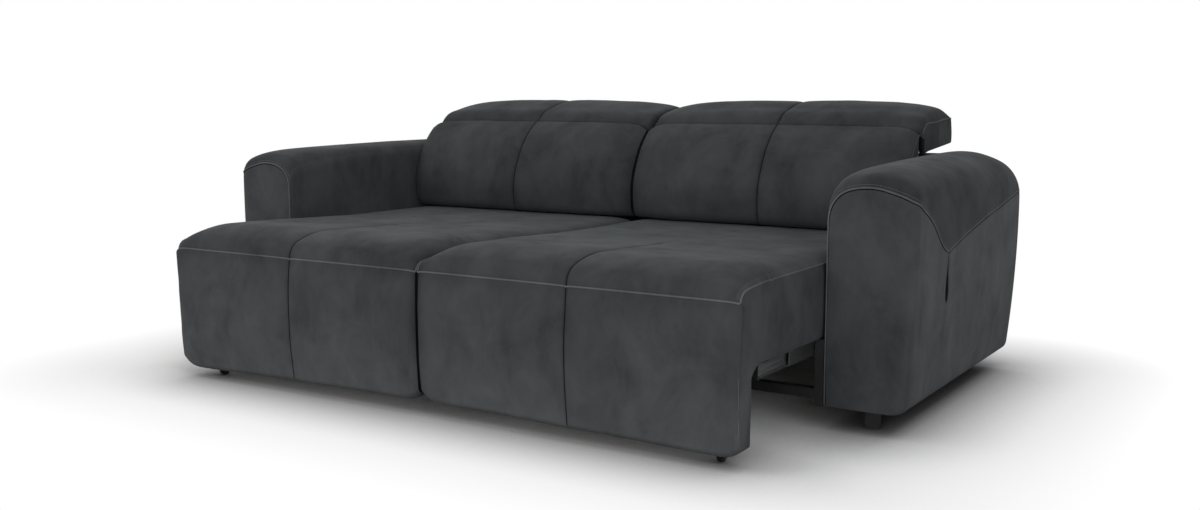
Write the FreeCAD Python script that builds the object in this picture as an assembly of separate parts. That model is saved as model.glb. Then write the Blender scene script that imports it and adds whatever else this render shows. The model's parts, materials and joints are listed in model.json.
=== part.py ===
import FreeCAD, Part
import math
import os
from FreeCAD import Vector

# Two-seat velvet sofa with pull-out seats and folding headrests, in millimetres.
# X runs along the width, Y from the front to the back, Z up from the floor.
# It is drawn with both seats pulled out and the headrests lying back.
# Y = 0 is the seam along the front of the pulled-out seats until place_all() centres it.

# Seats
seat_width = 950.0          # one seat, from the middle gap to the arm
seat_gap = 6.0              # gap between the two seats
seat_travel = 330.0         # how far a seat pushes in
front_seam_z = 403.0        # welt along the front edge
side_seam_z = 435.0         # welt along the side edge
seat_top_z = 474.0          # highest part of the crown
seat_rear_z = 450.0         # pad height where it runs under the back cushion
seat_under_z = 242.0        # underside of the pad
channel_dip = 7.0           # depth of the sewn seam down the middle of a seat
front_bulge = 12.0          # how far the front pad swells past the seam
front_side_swell = 8.0      # and how far it swells past the side of the seat
front_bottom_z = 52.0       # lower edge of the front pad at the middle of the sofa
front_bottom_dip = 14.0     # how much lower that edge hangs at the ends of the sofa
front_thickness = 66.0      # front pad with its board
front_arch = 40.0           # hollow under the pad behind the front board
board_inset = 13.0          # front board behind the pad's edges
board_bottom_z = front_bottom_z + 10.0
seat_x0 = seat_gap / 2.0
seat_x1 = seat_width
seat_mid = (seat_x0 + seat_x1) / 2.0

# Base and arms
arm_gap = 11.0              # between the seat's side and the arm
closed_gap = 79.0           # a pushed-in seat's front board before the arms' front
closed_play = 5.0           # its rear end before the rear cover
arm_length = 1000.0
cushion_depth = 215.0       # back cushion, front to rear
back_depth = 183.0          # front of the back frame to the arms' rear ends
arm_front_y = front_thickness + closed_gap + seat_travel
arm_rear_y = arm_front_y + arm_length
seat_length = arm_rear_y - closed_play - seat_travel    # front seam to rear end of the pad
back_plane_y = arm_rear_y - back_depth
arm_inner_x = seat_width + arm_gap
arm_width = 239.0
arm_outer_x = arm_inner_x + arm_width
arm_bottom_z = 62.0
arm_ridge_z = 694.0         # highest line of the arms, near the back
arm_skin = 26.0             # padding over the arm's box
arm_corner = 22.0           # rounding of the upright front corner on the outer side
arm_tuck = 22.0             # how far the outer side draws in at its foot
front_roll_in = (46.0, 72.0)    # reach and rise of the inner top corner, at the arm's front
rear_roll_in = (30.0, 30.0)     # and at its rear
front_roll_out = (34.0, 44.0)   # the same for the outer top corner
rear_roll_out = (76.0, 102.0)
board = 18.0                # board thickness
side_board = 25.0           # black boards that carry the slides
bar = 26.0                  # square bars of the base
bar_z = 80.0
beam_half = 20.0            # half the thickness of the middle beam
foot_side = 32.0
foot_x = arm_inner_x + 0.44 * arm_width
foot_front = 94.0           # front feet behind the arms' front
foot_rear = 75.0            # rear feet before the arms' rear
front_panel_z = 635.0       # top of the welt round an arm's front
front_panel_inset = 5.0
front_panel_swell = 9.0
arm_sole = 12.0
slit_back = 260.0           # upright slit in the arm's outer side, behind the arm's front
slit_w = 9.0
slit_z = 326.0
slit_h = 103.0

# Seat frame
frame_inset = 36.0
frame_front = 44.0          # behind the front board
frame_rear = 30.0           # before the pad's rear end
frame_x0 = seat_x0 + frame_inset
frame_x1 = seat_x1 - frame_inset
frame_y0 = front_thickness + frame_front
frame_y1 = seat_length - frame_rear
frame_top_z = 300.0
rail_w = 30.0
web_band = 60.0             # width of the elastic bands
web_sheet = 1.8
bands_across = 6
bands_along = 5
runner_w = 20.0             # hanger bars that carry the inner slide members
runner_z = 190.0
runner_tail = 40.0          # how far a hanger bar runs on behind its slide

# Back
back_rear_y = arm_rear_y + board    # rear cover
cover_lap = 14.0            # how far the cover laps behind each arm
back_top_z = 680.0          # flat top behind the cushions
top_board = 16.0
lower_rail_z = 458.0
upper_rail_z = 640.0
rail_deep = 45.0
rail_high = 40.0
cushion_bottom_z = 453.5
cushion_gap = 8.0           # between the two back cushions
cushion_play = 2.0          # cushion's rear to the back frame
back_band = 24.0            # elastic bands across the back frame
back_band_step = 34.0
back_band_count = 4
back_band_z = lower_rail_z + rail_high + 14.0
back_band_inset = 20.0

# Headrest hinge line, and the circle the headrest turns in
pivot_back = 38.0           # behind the front of the back frame
pivot_y = back_plane_y + pivot_back
pivot_z = 716.0
swing_radius = 104.0
swing_gap = 3.0
headrest_reach = 242.0      # hinge line to the headrest's rear edge
headrest_rear_y = pivot_y + headrest_reach
headrest_top_z = 850.0
headrest_end = 12.0         # the headrest stops this far short of the arm
headrest_end_z = 788.0      # welt along the ends
headrest_end_radius = 64.0
headrest_low_z = 691.0      # underside at the hinge line
headrest_slope = 0.085
headrest_board = 12.0
board_start = 42.0          # front edge of the headrest's board behind the hinge line
hinge_spots = (0.2 * seat_width, 0.81 * seat_width)
hinge_slot = 18.0
hinge_sheet = 3.0
hinge_disc = 20.0
hinge_play = 0.5
hinge_heel = 6.0            # the moving arm starts this far before the hinge line
hinge_strap = 24.0
hinge_reach = 150.0         # rear end of the strap behind the hinge line
hinge_foot = 16.0           # half the width of the fixed plate's foot
ratchet_teeth = 12
tooth_depth = 3.0
pin_radius = 4.0
pin_play = 0.08

# Telescopic slides
slide_height = 46.0
slide_depth = 12.7
slide_length = 450.0
slide_sheet = 1.5
slide_z = 215.0
slide_rear_gap = 10.0       # behind the arm front plane
slide_reach = 11.0          # flanges of the fixed and middle members
slide_nest = 3.0            # each member stands this far inside the one round it
cage_length = 180.0
cage_start = 20.0

# Casters
wheel_radius = 15.0
wheel_width = 12.0
wheel_gap = 1.0
caster_x = seat_x1 - 84.0
caster_y = front_thickness + 5.0 + wheel_radius
axle_radius = 3.0
axle_play = 0.08
axle_end = 1.0
cheek = 3.0                 # sheet of the caster's fork
fork_low_z = front_bottom_z + 14.0
fork_high_z = 118.0
fork_plate_z = 140.0
fork_half = 8.0             # half the length of the fork's foot

soft_chords = 5             # straight pieces to each arc of the cushions' outlines
arm_chords = 6              # and of the arms' outlines

parts = {}


def box(x0, x1, y0, y1, z0, z1):
    return Part.makeBox(x1 - x0, y1 - y0, z1 - z0, Vector(x0, y0, z0))


def prism_x(points, x0, x1):
    """A closed outline of (y, z) points, drawn out along X."""
    wire = Part.makePolygon([Vector(x0, y, z) for y, z in points + points[:1]])
    return Part.Face(wire).extrude(Vector(x1 - x0, 0, 0))


def prism_y(points, y0, y1):
    """A closed outline of (x, z) points, drawn out along Y."""
    wire = Part.makePolygon([Vector(x, y0, z) for x, z in points + points[:1]])
    return Part.Face(wire).extrude(Vector(0, y1 - y0, 0))


def rod_x(radius, x0, x1, y, z):
    return Part.makeCylinder(radius, x1 - x0, Vector(x0, y, z), Vector(1, 0, 0))


def joined(shapes):
    first = shapes[0]
    return first.fuse(shapes[1:]).removeSplitter() if len(shapes) > 1 else first


def path(steps, lift, chords=0):
    """A closed wire from steps: ('line', end) or ('arc', middle, end), starting at the last end.
    With chords, each arc becomes that many straight pieces."""
    here = steps[-1][-1]
    edges = []
    for step in steps:
        end = step[-1]
        if step[0] == "line":
            edges.append(Part.LineSegment(lift(here), lift(end)).toShape())
        else:
            arc = Part.Arc(lift(here), lift(step[1]), lift(end))
            edges.extend(chord_edges(arc, chords) if chords else [arc.toShape()])
        here = end
    return Part.Wire(edges)


def chord_edges(arc, count):
    first, last = arc.FirstParameter, arc.LastParameter
    points = [arc.value(first + (last - first) * i / count) for i in range(count + 1)]
    return [Part.LineSegment(a, b).toShape() for a, b in zip(points, points[1:])]


def loft(wires):
    return Part.makeLoft(wires, True, True)


def keep(name, shapes):
    """Store one node; a list of shapes stays a group of separate solids."""
    solids = []
    for shape in shapes if isinstance(shapes, list) else [shapes]:
        solids.extend(shape.Solids)
    parts[name] = solids


def mirrored(shapes):
    return [s.mirror(Vector(0, 0, 0), Vector(1, 0, 0)) for s in shapes]


def keep_pair(name, shapes):
    """Store a right-hand node and its mirror image on the left."""
    shapes = shapes if isinstance(shapes, list) else [shapes]
    keep("right_" + name, shapes)
    keep("left_" + name, mirrored(shapes))


def keep_both(name, shapes):
    """Store the pieces of both sides as one node."""
    shapes = shapes if isinstance(shapes, list) else [shapes]
    keep(name, shapes + mirrored(shapes))


# The seats

def seat_section(x, crown, edge_z, rear_z):
    """Side outline of the seat pad at x: waterfall front, crowned top, arch behind the front."""
    front = front_thickness
    arch = front_arch
    rise = edge_z - front_seam_z
    steps = [
        ("arc", (7.0, front_seam_z + 0.50 * rise), (30.0, front_seam_z + 0.78 * rise)),
        ("arc", (80.0, edge_z - 3.0 + 0.6 * crown), (156.0, edge_z + crown)),
        ("arc", (430.0, 0.55 * (edge_z + crown) + 0.45 * rear_z), (740.0, rear_z)),
        ("line", (seat_length, rear_z)),
        ("line", (seat_length, seat_under_z)),
        ("line", (front + arch, seat_under_z)),
        ("arc", (front + 0.35 * arch, seat_under_z - 0.28 * arch), (front, seat_under_z - 0.65 * arch)),
        ("line", (front, front_seam_z)),
        ("line", (0.0, front_seam_z)),
    ]
    return path(steps, lambda p: Vector(x, p[0], p[1]))


def make_seat_pad():
    """Two crowned lobes meeting in the sewn channel, hollow below for the frame."""
    top = seat_top_z - side_seam_z
    half = seat_mid - seat_x0
    lobes = []
    for side, inner in ((1.0, seat_x1), (-1.0, seat_x0)):
        rows = (
            (0.0, 0.0, side_seam_z, seat_rear_z - 14.0),
            (0.05, 5.0, side_seam_z + 0.42 * top, seat_rear_z - 5.0),
            (0.16, 9.0, side_seam_z + 0.74 * top, seat_rear_z),
            (0.52, 9.0, seat_top_z - 9.0, seat_rear_z + 2.0),
            (0.90, 8.0, seat_top_z - 10.0, seat_rear_z),
            (1.0, 7.0, seat_top_z - 10.0 - channel_dip, seat_rear_z - 3.0),
        )
        wires = [seat_section(inner - side * half * u, crown, edge, rear) for u, crown, edge, rear in rows]
        lobes.append(loft(wires))
    pad = joined(lobes)
    pocket = box(frame_x0, frame_x1, frame_y0, frame_y1, seat_under_z - 1.0, frame_top_z + 4.0)
    return pad.cut(pocket)


def front_section(x, bulge, bottom):
    """Side outline of the front pad at x: swollen face and rounded lower edge."""
    low = front_bottom_z + bottom - front_bottom_dip * (x / seat_x1) ** 2
    steps = [
        ("arc", (-bulge, 0.5 * (front_seam_z + low) - 20.0), (4.0, low + 22.0)),
        ("arc", (9.0, low + 7.0), (26.0, low)),
        ("line", (front_thickness, low)),
        ("line", (front_thickness, front_seam_z)),
        ("line", (0.0, front_seam_z)),
    ]
    return path(steps, lambda p: Vector(x, p[0], p[1]))


def make_front_pad():
    """The padded front panel, wrapped round its board."""
    half = seat_mid - seat_x0
    lobes = []
    for side, inner, swell in ((1.0, seat_x1, front_side_swell), (-1.0, seat_x0, 0.0)):
        rows = ((-swell / half, 2.0, 22.0), (0.02, 8.0, 6.0), (0.10, 11.0, 0.0), (0.52, front_bulge, 0.0),
                (0.92, 9.0, 0.0), (1.0, 4.0, 0.0))
        wires = [front_section(inner - side * half * u, bulge, bottom) for u, bulge, bottom in rows]
        lobes.append(loft(wires))
    recess = box(seat_x0 + board_inset, seat_x1 - board_inset, front_thickness - board, front_thickness + 1.0,
                 board_bottom_z, front_seam_z + 1.0)
    return joined(lobes).cut(recess)


def make_front_board():
    return box(seat_x0 + board_inset, seat_x1 - board_inset, front_thickness - board, front_thickness,
               board_bottom_z, front_seam_z)


def make_seat_frame():
    """Wooden seat frame: two long rails, three cross rails between them."""
    low, top = seat_under_z, frame_top_z
    rails = [box(frame_x0, frame_x0 + rail_w, frame_y0, frame_y1, low, top)]
    rails.append(box(frame_x1 - rail_w, frame_x1, frame_y0, frame_y1, low, top))
    for y in (frame_y0, (frame_y0 + frame_y1 - rail_w) / 2.0, frame_y1 - rail_w):
        rails.append(box(frame_x0 + rail_w, frame_x1 - rail_w, y, y + rail_w, low, top))
    return rails


def make_seat_webbing():
    """Elastic bands over the frame: lengthways bands lie on top of the cross bands."""
    low = frame_top_z
    middle = low + web_sheet
    bands = []
    for i in range(bands_across):
        y = frame_y0 + (i + 0.5) * (frame_y1 - frame_y0) / bands_across - web_band / 2.0
        bands.append(box(frame_x0, frame_x1, y, y + web_band, low, middle))
    for i in range(bands_along):
        x = frame_x0 + (i + 0.5) * (frame_x1 - frame_x0) / bands_along - web_band / 2.0
        bands.append(box(x, x + web_band, frame_y0, frame_y1, middle, middle + web_sheet))
    return bands


def slide_spots():
    """Mounting face and direction of the two slides of the right seat."""
    return ((beam_half, 1.0), (arm_inner_x - side_board, -1.0))


def slide_out_y():
    return arm_front_y + slide_rear_gap


def make_runners():
    """Hanger bars under the frame that carry the inner slide members."""
    y0 = slide_out_y() - seat_travel
    bars = []
    for face, way in slide_spots():
        near = face + way * slide_depth
        far = near + way * runner_w
        bars.append(box(min(near, far), max(near, far), y0, y0 + slide_length + runner_tail, runner_z, seat_under_z))
    return bars


def channel(face, way, web, reach, half_height, y0, length):
    """A C-profile member: web next to u = web, flanges out to u = reach."""
    t = slide_sheet
    h = half_height
    turn = t if reach > web else -t
    outline = [(web, -h), (reach, -h), (reach, -h + t), (web + turn, -h + t),
               (web + turn, h - t), (reach, h - t), (reach, h), (web, h)]
    points = [(face + way * u, slide_z + v) for u, v in outline]
    return prism_y(points, y0, y0 + length)


def make_outer_members():
    return [channel(face, way, 0.0, slide_reach, slide_height / 2.0, slide_out_y(), slide_length)
            for face, way in slide_spots()]


def make_middle_members():
    y0 = slide_out_y() - seat_travel / 2.0
    return [channel(face, way, slide_nest, slide_reach, slide_height / 2.0 - slide_nest, y0, slide_length)
            for face, way in slide_spots()]


def make_inner_members():
    y0 = slide_out_y() - seat_travel
    return [channel(face, way, slide_depth, 2.0 * slide_nest, slide_height / 2.0 - 2.0 * slide_nest, y0, slide_length)
            for face, way in slide_spots()]


def make_slide_glides():
    """Ball cages of the slides: strips above and below the middle member's flanges."""
    y0 = slide_out_y() - seat_travel / 2.0 + cage_start
    h = slide_height / 2.0
    strips = []
    for face, way in slide_spots():
        for u0, u1, v0, v1 in ((5.0, 9.0, h - 3.0, h - 1.8), (7.0, 10.0, h - 5.7, h - 4.5)):
            for sign in (1.0, -1.0):
                xs = sorted((face + way * u0, face + way * u1))
                zs = sorted((slide_z + sign * v0, slide_z + sign * v1))
                strips.append(box(xs[0], xs[1], y0, y0 + cage_length, zs[0], zs[1]))
    return strips


def make_wheel():
    """A small roller with a bore for its axle."""
    x0 = caster_x - wheel_width / 2.0
    x1 = caster_x + wheel_width / 2.0
    bore = rod_x(axle_radius + axle_play, x0 - 1.0, x1 + 1.0, caster_y, wheel_radius)
    return rod_x(wheel_radius, x0, x1, caster_y, wheel_radius).cut(bore)


def make_caster_bracket():
    """Pressed fork: a back plate on the front board and two cheeks down to the axle."""
    inside = wheel_width / 2.0 + wheel_gap
    outside = inside + cheek
    front = front_thickness
    pieces = [box(caster_x - outside, caster_x + outside, front, front + cheek, fork_low_z, fork_plate_z)]
    foot_z = wheel_radius - 2.0 * axle_radius
    outline = [(front, fork_high_z), (front, fork_low_z), (caster_y - fork_half, foot_z),
               (caster_y + fork_half, foot_z), (caster_y + fork_half, wheel_radius + fork_half),
               (front + 3.0 * cheek, fork_high_z)]
    for sign in (1.0, -1.0):
        x0, x1 = sorted((caster_x + sign * inside, caster_x + sign * outside))
        pieces.append(prism_x(outline, x0, x1))
    hole = rod_x(axle_radius, caster_x - outside - 1.0, caster_x + outside + 1.0, caster_y, wheel_radius)
    return joined(pieces).cut(hole)


def make_caster_axle():
    half = wheel_width / 2.0 + wheel_gap + cheek + axle_end
    return rod_x(axle_radius, caster_x - half, caster_x + half, caster_y, wheel_radius)


# The back cushions

def cushion_section(x, sink, turn):
    """Side outline of a back cushion at x; sink moves the face back from the fullest section,
    turn draws the crest down round the headrest's circle."""
    low = cushion_bottom_z
    rear = back_plane_y - cushion_play
    face = back_plane_y - cushion_depth + sink
    radius = swing_radius + swing_gap
    start = math.radians(148.0 + turn)
    end = 2.0 * math.pi - math.acos((rear - pivot_y) / radius)
    middle = 0.5 * (start + end)

    def on_circle(angle):
        return (pivot_y + radius * math.cos(angle), pivot_z + radius * math.sin(angle))

    steps = [
        ("arc", (face + 13.0, low + 8.0), (face + 5.0, low + 34.0)),
        ("arc", (face, low + 96.5), (face + 27.0 - 0.1 * sink, low + 176.5)),
        ("arc", (face + 66.0 - 0.3 * sink, low + 246.5 - 0.3 * sink), on_circle(start)),
        ("arc", on_circle(middle), on_circle(end)),
        ("line", (rear, low)),
        ("line", (face + 35.0, low)),
    ]
    return path(steps, lambda p: Vector(x, p[0], p[1]), soft_chords)


def make_back_cushion():
    """Two crowned halves with a sewn seam between; the top is hollowed for the headrest's swing."""
    x0 = cushion_gap / 2.0
    x1 = arm_inner_x - cushion_gap
    mid = (x0 + x1) / 2.0
    half = mid - x0
    lobes = []
    for side, edge in ((1.0, x1), (-1.0, x0)):
        rows = ((0.0, 40.0, 16.0), (0.05, 26.0, 7.0), (0.18, 10.0, 1.0), (0.55, 0.0, 0.0),
                (0.92, 8.0, 0.0), (1.0, 17.0, 0.0))
        wires = [cushion_section(edge - side * half * u, sink, turn) for u, sink, turn in rows]
        lobes.append(loft(wires))
    return joined(lobes)


def make_back_webbing():
    """Elastic bands across the back frame behind one cushion."""
    x0 = back_band_inset
    x1 = arm_inner_x - back_band_inset
    y1 = back_plane_y
    heights = [back_band_z + i * back_band_step for i in range(back_band_count)]
    return [box(x0, x1, y1 - web_sheet, y1, z, z + back_band) for z in heights]


# The headrests

def polar(angle, radius):
    """A point in the side view at this angle and distance from the headrest's hinge line."""
    a = math.radians(angle)
    return (pivot_y + radius * math.cos(a), pivot_z + radius * math.sin(a))


def headrest_under(y):
    """Height of the headrest's underside, which climbs gently towards the rear."""
    return headrest_low_z + headrest_slope * (y - pivot_y)


def headrest_section(x, full):
    """Side outline of the headrest pad at x; full runs from 0 at the ends to 1 on the crown."""
    rear = headrest_rear_y
    nose = headrest_end_radius + full * (swing_radius - headrest_end_radius)
    top = headrest_end_z + full * (headrest_top_z - headrest_end_z)
    rear_top = headrest_end_z + 4.0 + 8.0 * full
    steps = [
        ("arc", polar(188.0, 62.0), polar(152.0 - 6.0 * full, nose)),
        ("arc", polar(120.0, nose), polar(92.0, nose)),
        ("arc", (pivot_y + 68.0, top - 7.0), (pivot_y + 136.0, top)),
        ("arc", (pivot_y + 190.0, 0.5 * (top + rear_top) + 5.0 * full), (rear - 6.0, rear_top)),
        ("arc", (rear + 2.0 + 6.0 * full, 0.5 * (rear_top + headrest_under(rear))), (rear, headrest_under(rear))),
        ("line", (pivot_y - 14.0, headrest_under(pivot_y - 14.0))),
    ]
    return path(steps, lambda p: Vector(x, p[0], p[1]), soft_chords)


def headrest_span():
    return cushion_gap / 2.0, arm_inner_x - headrest_end


def headrest_board_shape():
    """The board under the pad, lying along its sloping underside."""
    x0, x1 = headrest_span()
    y0 = pivot_y + board_start
    y1 = headrest_rear_y - 20.0
    points = [(y0, headrest_under(y0)), (y1, headrest_under(y1)),
              (y1, headrest_under(y1) + headrest_board), (y0, headrest_under(y0) + headrest_board)]
    return prism_x(points, x0 + 20.0, x1 - 20.0)


def make_headrest_pad():
    """A D-shaped pad, crowned along its length, slotted for the two hinges and recessed for its board."""
    x0, x1 = headrest_span()
    rows = ((0.0, 0.0), (0.010, 0.52), (0.045, 0.74), (0.14, 0.91), (0.3, 0.99))
    wires = [headrest_section(x0 + (x1 - x0) * u, full) for u, full in rows]
    wires.extend(headrest_section(x1 - (x1 - x0) * u, full) for u, full in reversed(rows))
    pad = loft(wires)
    for x in hinge_spots:
        slot = box(x - hinge_slot / 2.0, x + hinge_slot / 2.0, pivot_y - 70.0, pivot_y + board_start,
                   pivot_z - 60.0, pivot_z + hinge_disc + 12.0)
        pad = pad.cut(slot)
    return pad.cut(headrest_board_shape())


def ring_of_teeth(x0, x1):
    """Disc of a ratchet plate with teeth cut round its upper half."""
    points = []
    step = 180.0 / ratchet_teeth
    for i in range(ratchet_teeth):
        points.append(polar(i * step, hinge_disc - tooth_depth))
        points.append(polar(i * step + 0.8 * step, hinge_disc))
    points.append(polar(180.0, hinge_disc - tooth_depth))
    for i in range(1, 8):
        points.append(polar(180.0 + i * 22.5, hinge_disc - tooth_depth))
    return prism_x(points, x0, x1)


def make_hinge_plates():
    """Fixed halves of the ratchet hinges: foot on the upper rail, neck, toothed disc."""
    plates = []
    for x in hinge_spots:
        x0 = x - hinge_sheet / 2.0
        x1 = x + hinge_sheet / 2.0
        foot = box(x - hinge_foot, x + hinge_foot, back_plane_y + 3.0, back_plane_y + rail_deep - 3.0,
                   upper_rail_z, upper_rail_z + hinge_sheet)
        neck = box(x0, x1, pivot_y - 12.0, back_plane_y + rail_deep - 3.0, upper_rail_z, pivot_z)
        plate = joined([foot, neck, ring_of_teeth(x0, x1)])
        plates.append(plate.cut(rod_x(pin_radius, x0 - 1.0, x1 + 1.0, pivot_y, pivot_z)))
    return plates


def make_hinge_arms():
    """Moving halves: eye round the pin, web, and a strap screwed under the headrest's board."""
    arms = []
    y0 = pivot_y - hinge_heel
    y1 = pivot_y + board_start - 1.0
    y2 = pivot_y + hinge_reach
    low = headrest_under(y0)
    for x in hinge_spots:
        x0 = x + hinge_sheet / 2.0 + hinge_play
        x1 = x0 + hinge_sheet
        eye = rod_x(hinge_disc - 4.0, x0, x1, pivot_y, pivot_z)
        web = prism_x([(y0, low - hinge_sheet), (y1, headrest_under(y1) - hinge_sheet), (y1, pivot_z - 8.0),
                       (pivot_y + 8.0, pivot_z + 10.0), (y0, pivot_z)], x0, x1)
        strap = prism_x([(y0, low - hinge_sheet), (y2, headrest_under(y2) - hinge_sheet),
                         (y2, headrest_under(y2)), (y0, low)], x0, x0 + hinge_strap)
        arm = joined([eye, web, strap])
        arms.append(arm.cut(rod_x(pin_radius + pin_play, x0 - 1.0, x1 + hinge_strap, pivot_y, pivot_z)))
    return arms


def make_hinge_pins():
    """Plain rivets through the fixed plate and the eye of the moving arm."""
    near = hinge_sheet / 2.0 + 1.0
    far = hinge_sheet * 1.5 + hinge_play + 1.0
    return [rod_x(pin_radius, x - near, x + far, pivot_y, pivot_z) for x in hinge_spots]


def make_pawls():
    """Catches on the moving arms, held just clear of the teeth."""
    pawls = []
    for x in hinge_spots:
        x1 = x + hinge_sheet / 2.0
        inner = hinge_disc + hinge_play
        points = [polar(14.0, inner), polar(28.0, inner), polar(28.0, inner + 6.0), polar(14.0, inner + 7.0)]
        pawls.append(prism_x(points, x - hinge_sheet / 2.0, x1 + hinge_play + hinge_sheet))
    return pawls


# The arms

def between(a, b, share):
    return [p + (q - p) * share for p, q in zip(a, b)]


def rounded(x, z, reach, rise):
    """An arc that leaves (x, z) straight up and ends reach to the side and rise higher."""
    radius = (reach * reach + rise * rise) / (2.0 * abs(reach))
    turn = 0.5 * math.atan2(rise, radius - abs(reach))
    middle = (x + math.copysign(radius - radius * math.cos(turn), reach), z + radius * math.sin(turn))
    return middle, (x + reach, z + rise)


def arm_section(y, ridge, full, inner_inset, outer_inset):
    """Front outline of an arm at y: upright inner side, rolled top, outer side drawn in at its foot.
    At full = 0 the roll is wide and tight, at 1 it is round on the outer side and square on the inner."""
    inner = arm_inner_x + inner_inset
    outer = arm_outer_x - outer_inset
    low = arm_bottom_z
    reach_in, rise_in = between(front_roll_in, rear_roll_in, full)
    start_z = ridge - 9.0 + 4.0 * full - rise_in
    corner_in, top_in = rounded(inner, start_z, reach_in, rise_in)
    reach_out, rise_out = between(front_roll_out, rear_roll_out, full)
    end_z = ridge - 15.0 - 3.0 * full - rise_out
    corner_out, top_out = rounded(outer, end_z, -reach_out, rise_out)
    steps = [
        ("line", (inner, start_z)),
        ("arc", corner_in, top_in),
        ("arc", (inner + 0.47 * arm_width - 20.0 * full, ridge), top_out),
        ("arc", corner_out, (outer, end_z)),
        ("arc", (outer - 0.2 * arm_tuck, 0.5 * (end_z + low)), (outer - arm_tuck, low + 24.0)),
        ("arc", (outer - arm_tuck - 5.0, low + 7.0), (outer - arm_tuck - 18.0, low)),
        ("line", (inner, low)),
    ]
    return path(steps, lambda p: Vector(p[0], y, p[1]), arm_chords)


def corner_inset(depth):
    """Inset of the rounded upright corner at this depth behind the arm's front."""
    left = max(0.0, arm_corner - depth)
    return arm_corner - math.sqrt(arm_corner * arm_corner - left * left)


def make_arm():
    """The upholstered arm, hollow below for its box, with the upright slit in its outer side."""
    rows = (
        (0.0, front_panel_z, 0.0, front_panel_inset),
        (6.0, arm_ridge_z - 40.0, 0.0, 3.5),
        (20.0, arm_ridge_z - 27.0, 0.05, 2.0),
        (60.0, arm_ridge_z - 18.0, 0.15, 0.5),
        (130.0, arm_ridge_z - 12.0, 0.3, 0.0),
        (345.0, arm_ridge_z - 6.0, 0.6, 0.0),
        (arm_length - 110.0, arm_ridge_z, 0.95, 0.0),
        (arm_length - 40.0, arm_ridge_z - 4.0, 1.0, 0.0),
        (arm_length, arm_ridge_z - 14.0, 1.0, 2.0),
    )
    sections = []
    for depth, ridge, full, inset in rows:
        outer_inset = max(corner_inset(depth), inset)
        sections.append(arm_section(arm_front_y + depth, ridge, full, inset, outer_inset))
    slit_y = arm_front_y + slit_back
    slit = box(arm_outer_x - 14.0, arm_outer_x + 5.0, slit_y, slit_y + slit_w, slit_z, slit_z + slit_h)
    x0, x1, ya, yb, z1 = arm_hollow()
    return loft(sections).cut(slit).cut(box(x0, x1, ya, yb, arm_bottom_z - 1.0, z1))


def arm_hollow():
    return (arm_inner_x + arm_skin, arm_outer_x - arm_skin - 22.0,
            arm_front_y + 40.0, arm_rear_y - 30.0, arm_ridge_z - 92.0)


def make_arm_front():
    """Shallow padded panel on the front of an arm, inside the welt."""
    wires = []
    for out, inset in ((0.0, 0.0), (2.0 / 3.0, 8.0), (1.0, 30.0)):
        inner = arm_inner_x + front_panel_inset + inset
        outer = arm_outer_x - arm_corner - inset
        ridge = front_panel_z - inset
        low = arm_bottom_z + inset
        start_z = ridge - 9.0 - front_roll_in[1]
        end_z = ridge - 15.0 - front_roll_out[1]
        corner_in, top_in = rounded(inner, start_z, *front_roll_in)
        corner_out, top_out = rounded(outer, end_z, -front_roll_out[0], front_roll_out[1])
        steps = [
            ("line", (inner, start_z)),
            ("arc", corner_in, top_in),
            ("arc", (0.5 * (inner + outer), ridge), top_out),
            ("arc", corner_out, (outer, end_z)),
            ("line", (outer - arm_tuck, low + 24.0)),
            ("arc", (outer - arm_tuck - 5.0, low + 7.0), (outer - arm_tuck - 18.0, low)),
            ("line", (inner, low)),
        ]
        y = arm_front_y - front_panel_swell * out
        wires.append(path(steps, lambda p, y=y: Vector(p[0], y, p[1]), arm_chords))
    return loft(wires)


def make_arm_frame():
    """Boards of the box inside an arm."""
    x0, x1, y0, y1, z1 = arm_hollow()
    low = arm_bottom_z + arm_sole
    t = board
    boards = [box(x0, x0 + t, y0, y1, low, z1 - t), box(x1 - t, x1, y0, y1, low, z1 - t)]
    boards.append(box(x0, x1, y0, y1, z1 - t, z1))
    for y in (y0, 0.5 * (y0 + y1 - t), y1 - t):
        boards.append(box(x0 + t, x1 - t, y, y + t, low, z1 - t))
    return boards


def make_arm_sole():
    """Black board that closes the underside of an arm and takes the feet."""
    x0, x1, y0, y1, z1 = arm_hollow()
    return box(x0, x1, y0, y1, arm_bottom_z, arm_bottom_z + arm_sole)


def make_feet():
    feet = []
    x = foot_x
    half = foot_side / 2.0
    for y in (arm_front_y + foot_front, arm_rear_y - foot_rear):
        feet.append(box(x - half, x + half, y - half, y + half, 0.0, arm_bottom_z))
    return feet


# The base and the back

def make_side_board():
    return box(arm_inner_x - side_board, arm_inner_x, arm_front_y + 3.0, back_rear_y - board,
               arm_bottom_z, seat_under_z - 4.0)


def make_front_rail():
    x = arm_inner_x - side_board
    return box(-x, x, arm_front_y + 5.0, arm_front_y + 5.0 + bar, bar_z, bar_z + bar)


def make_rear_rail():
    x = arm_inner_x - side_board
    return box(-x, x, back_rear_y - board - bar, back_rear_y - board, bar_z, bar_z + bar)


def make_centre_beam():
    return box(-beam_half, beam_half, arm_front_y + 5.0 + bar, back_rear_y - board - bar,
               bar_z, seat_under_z - 4.0)


def make_centre_foot():
    y = 0.5 * (arm_front_y + back_rear_y)
    half = foot_side / 2.0
    return box(-half, half, y - half, y + half, 0.0, bar_z)


def make_back_rails():
    """Two rails that span the arms above the seats."""
    y0 = back_plane_y
    y1 = back_plane_y + rail_deep
    x = arm_inner_x
    return [box(-x, x, y0, y1, lower_rail_z, lower_rail_z + rail_high),
            box(-x, x, y0, y1, upper_rail_z - rail_high, upper_rail_z)]


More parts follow.
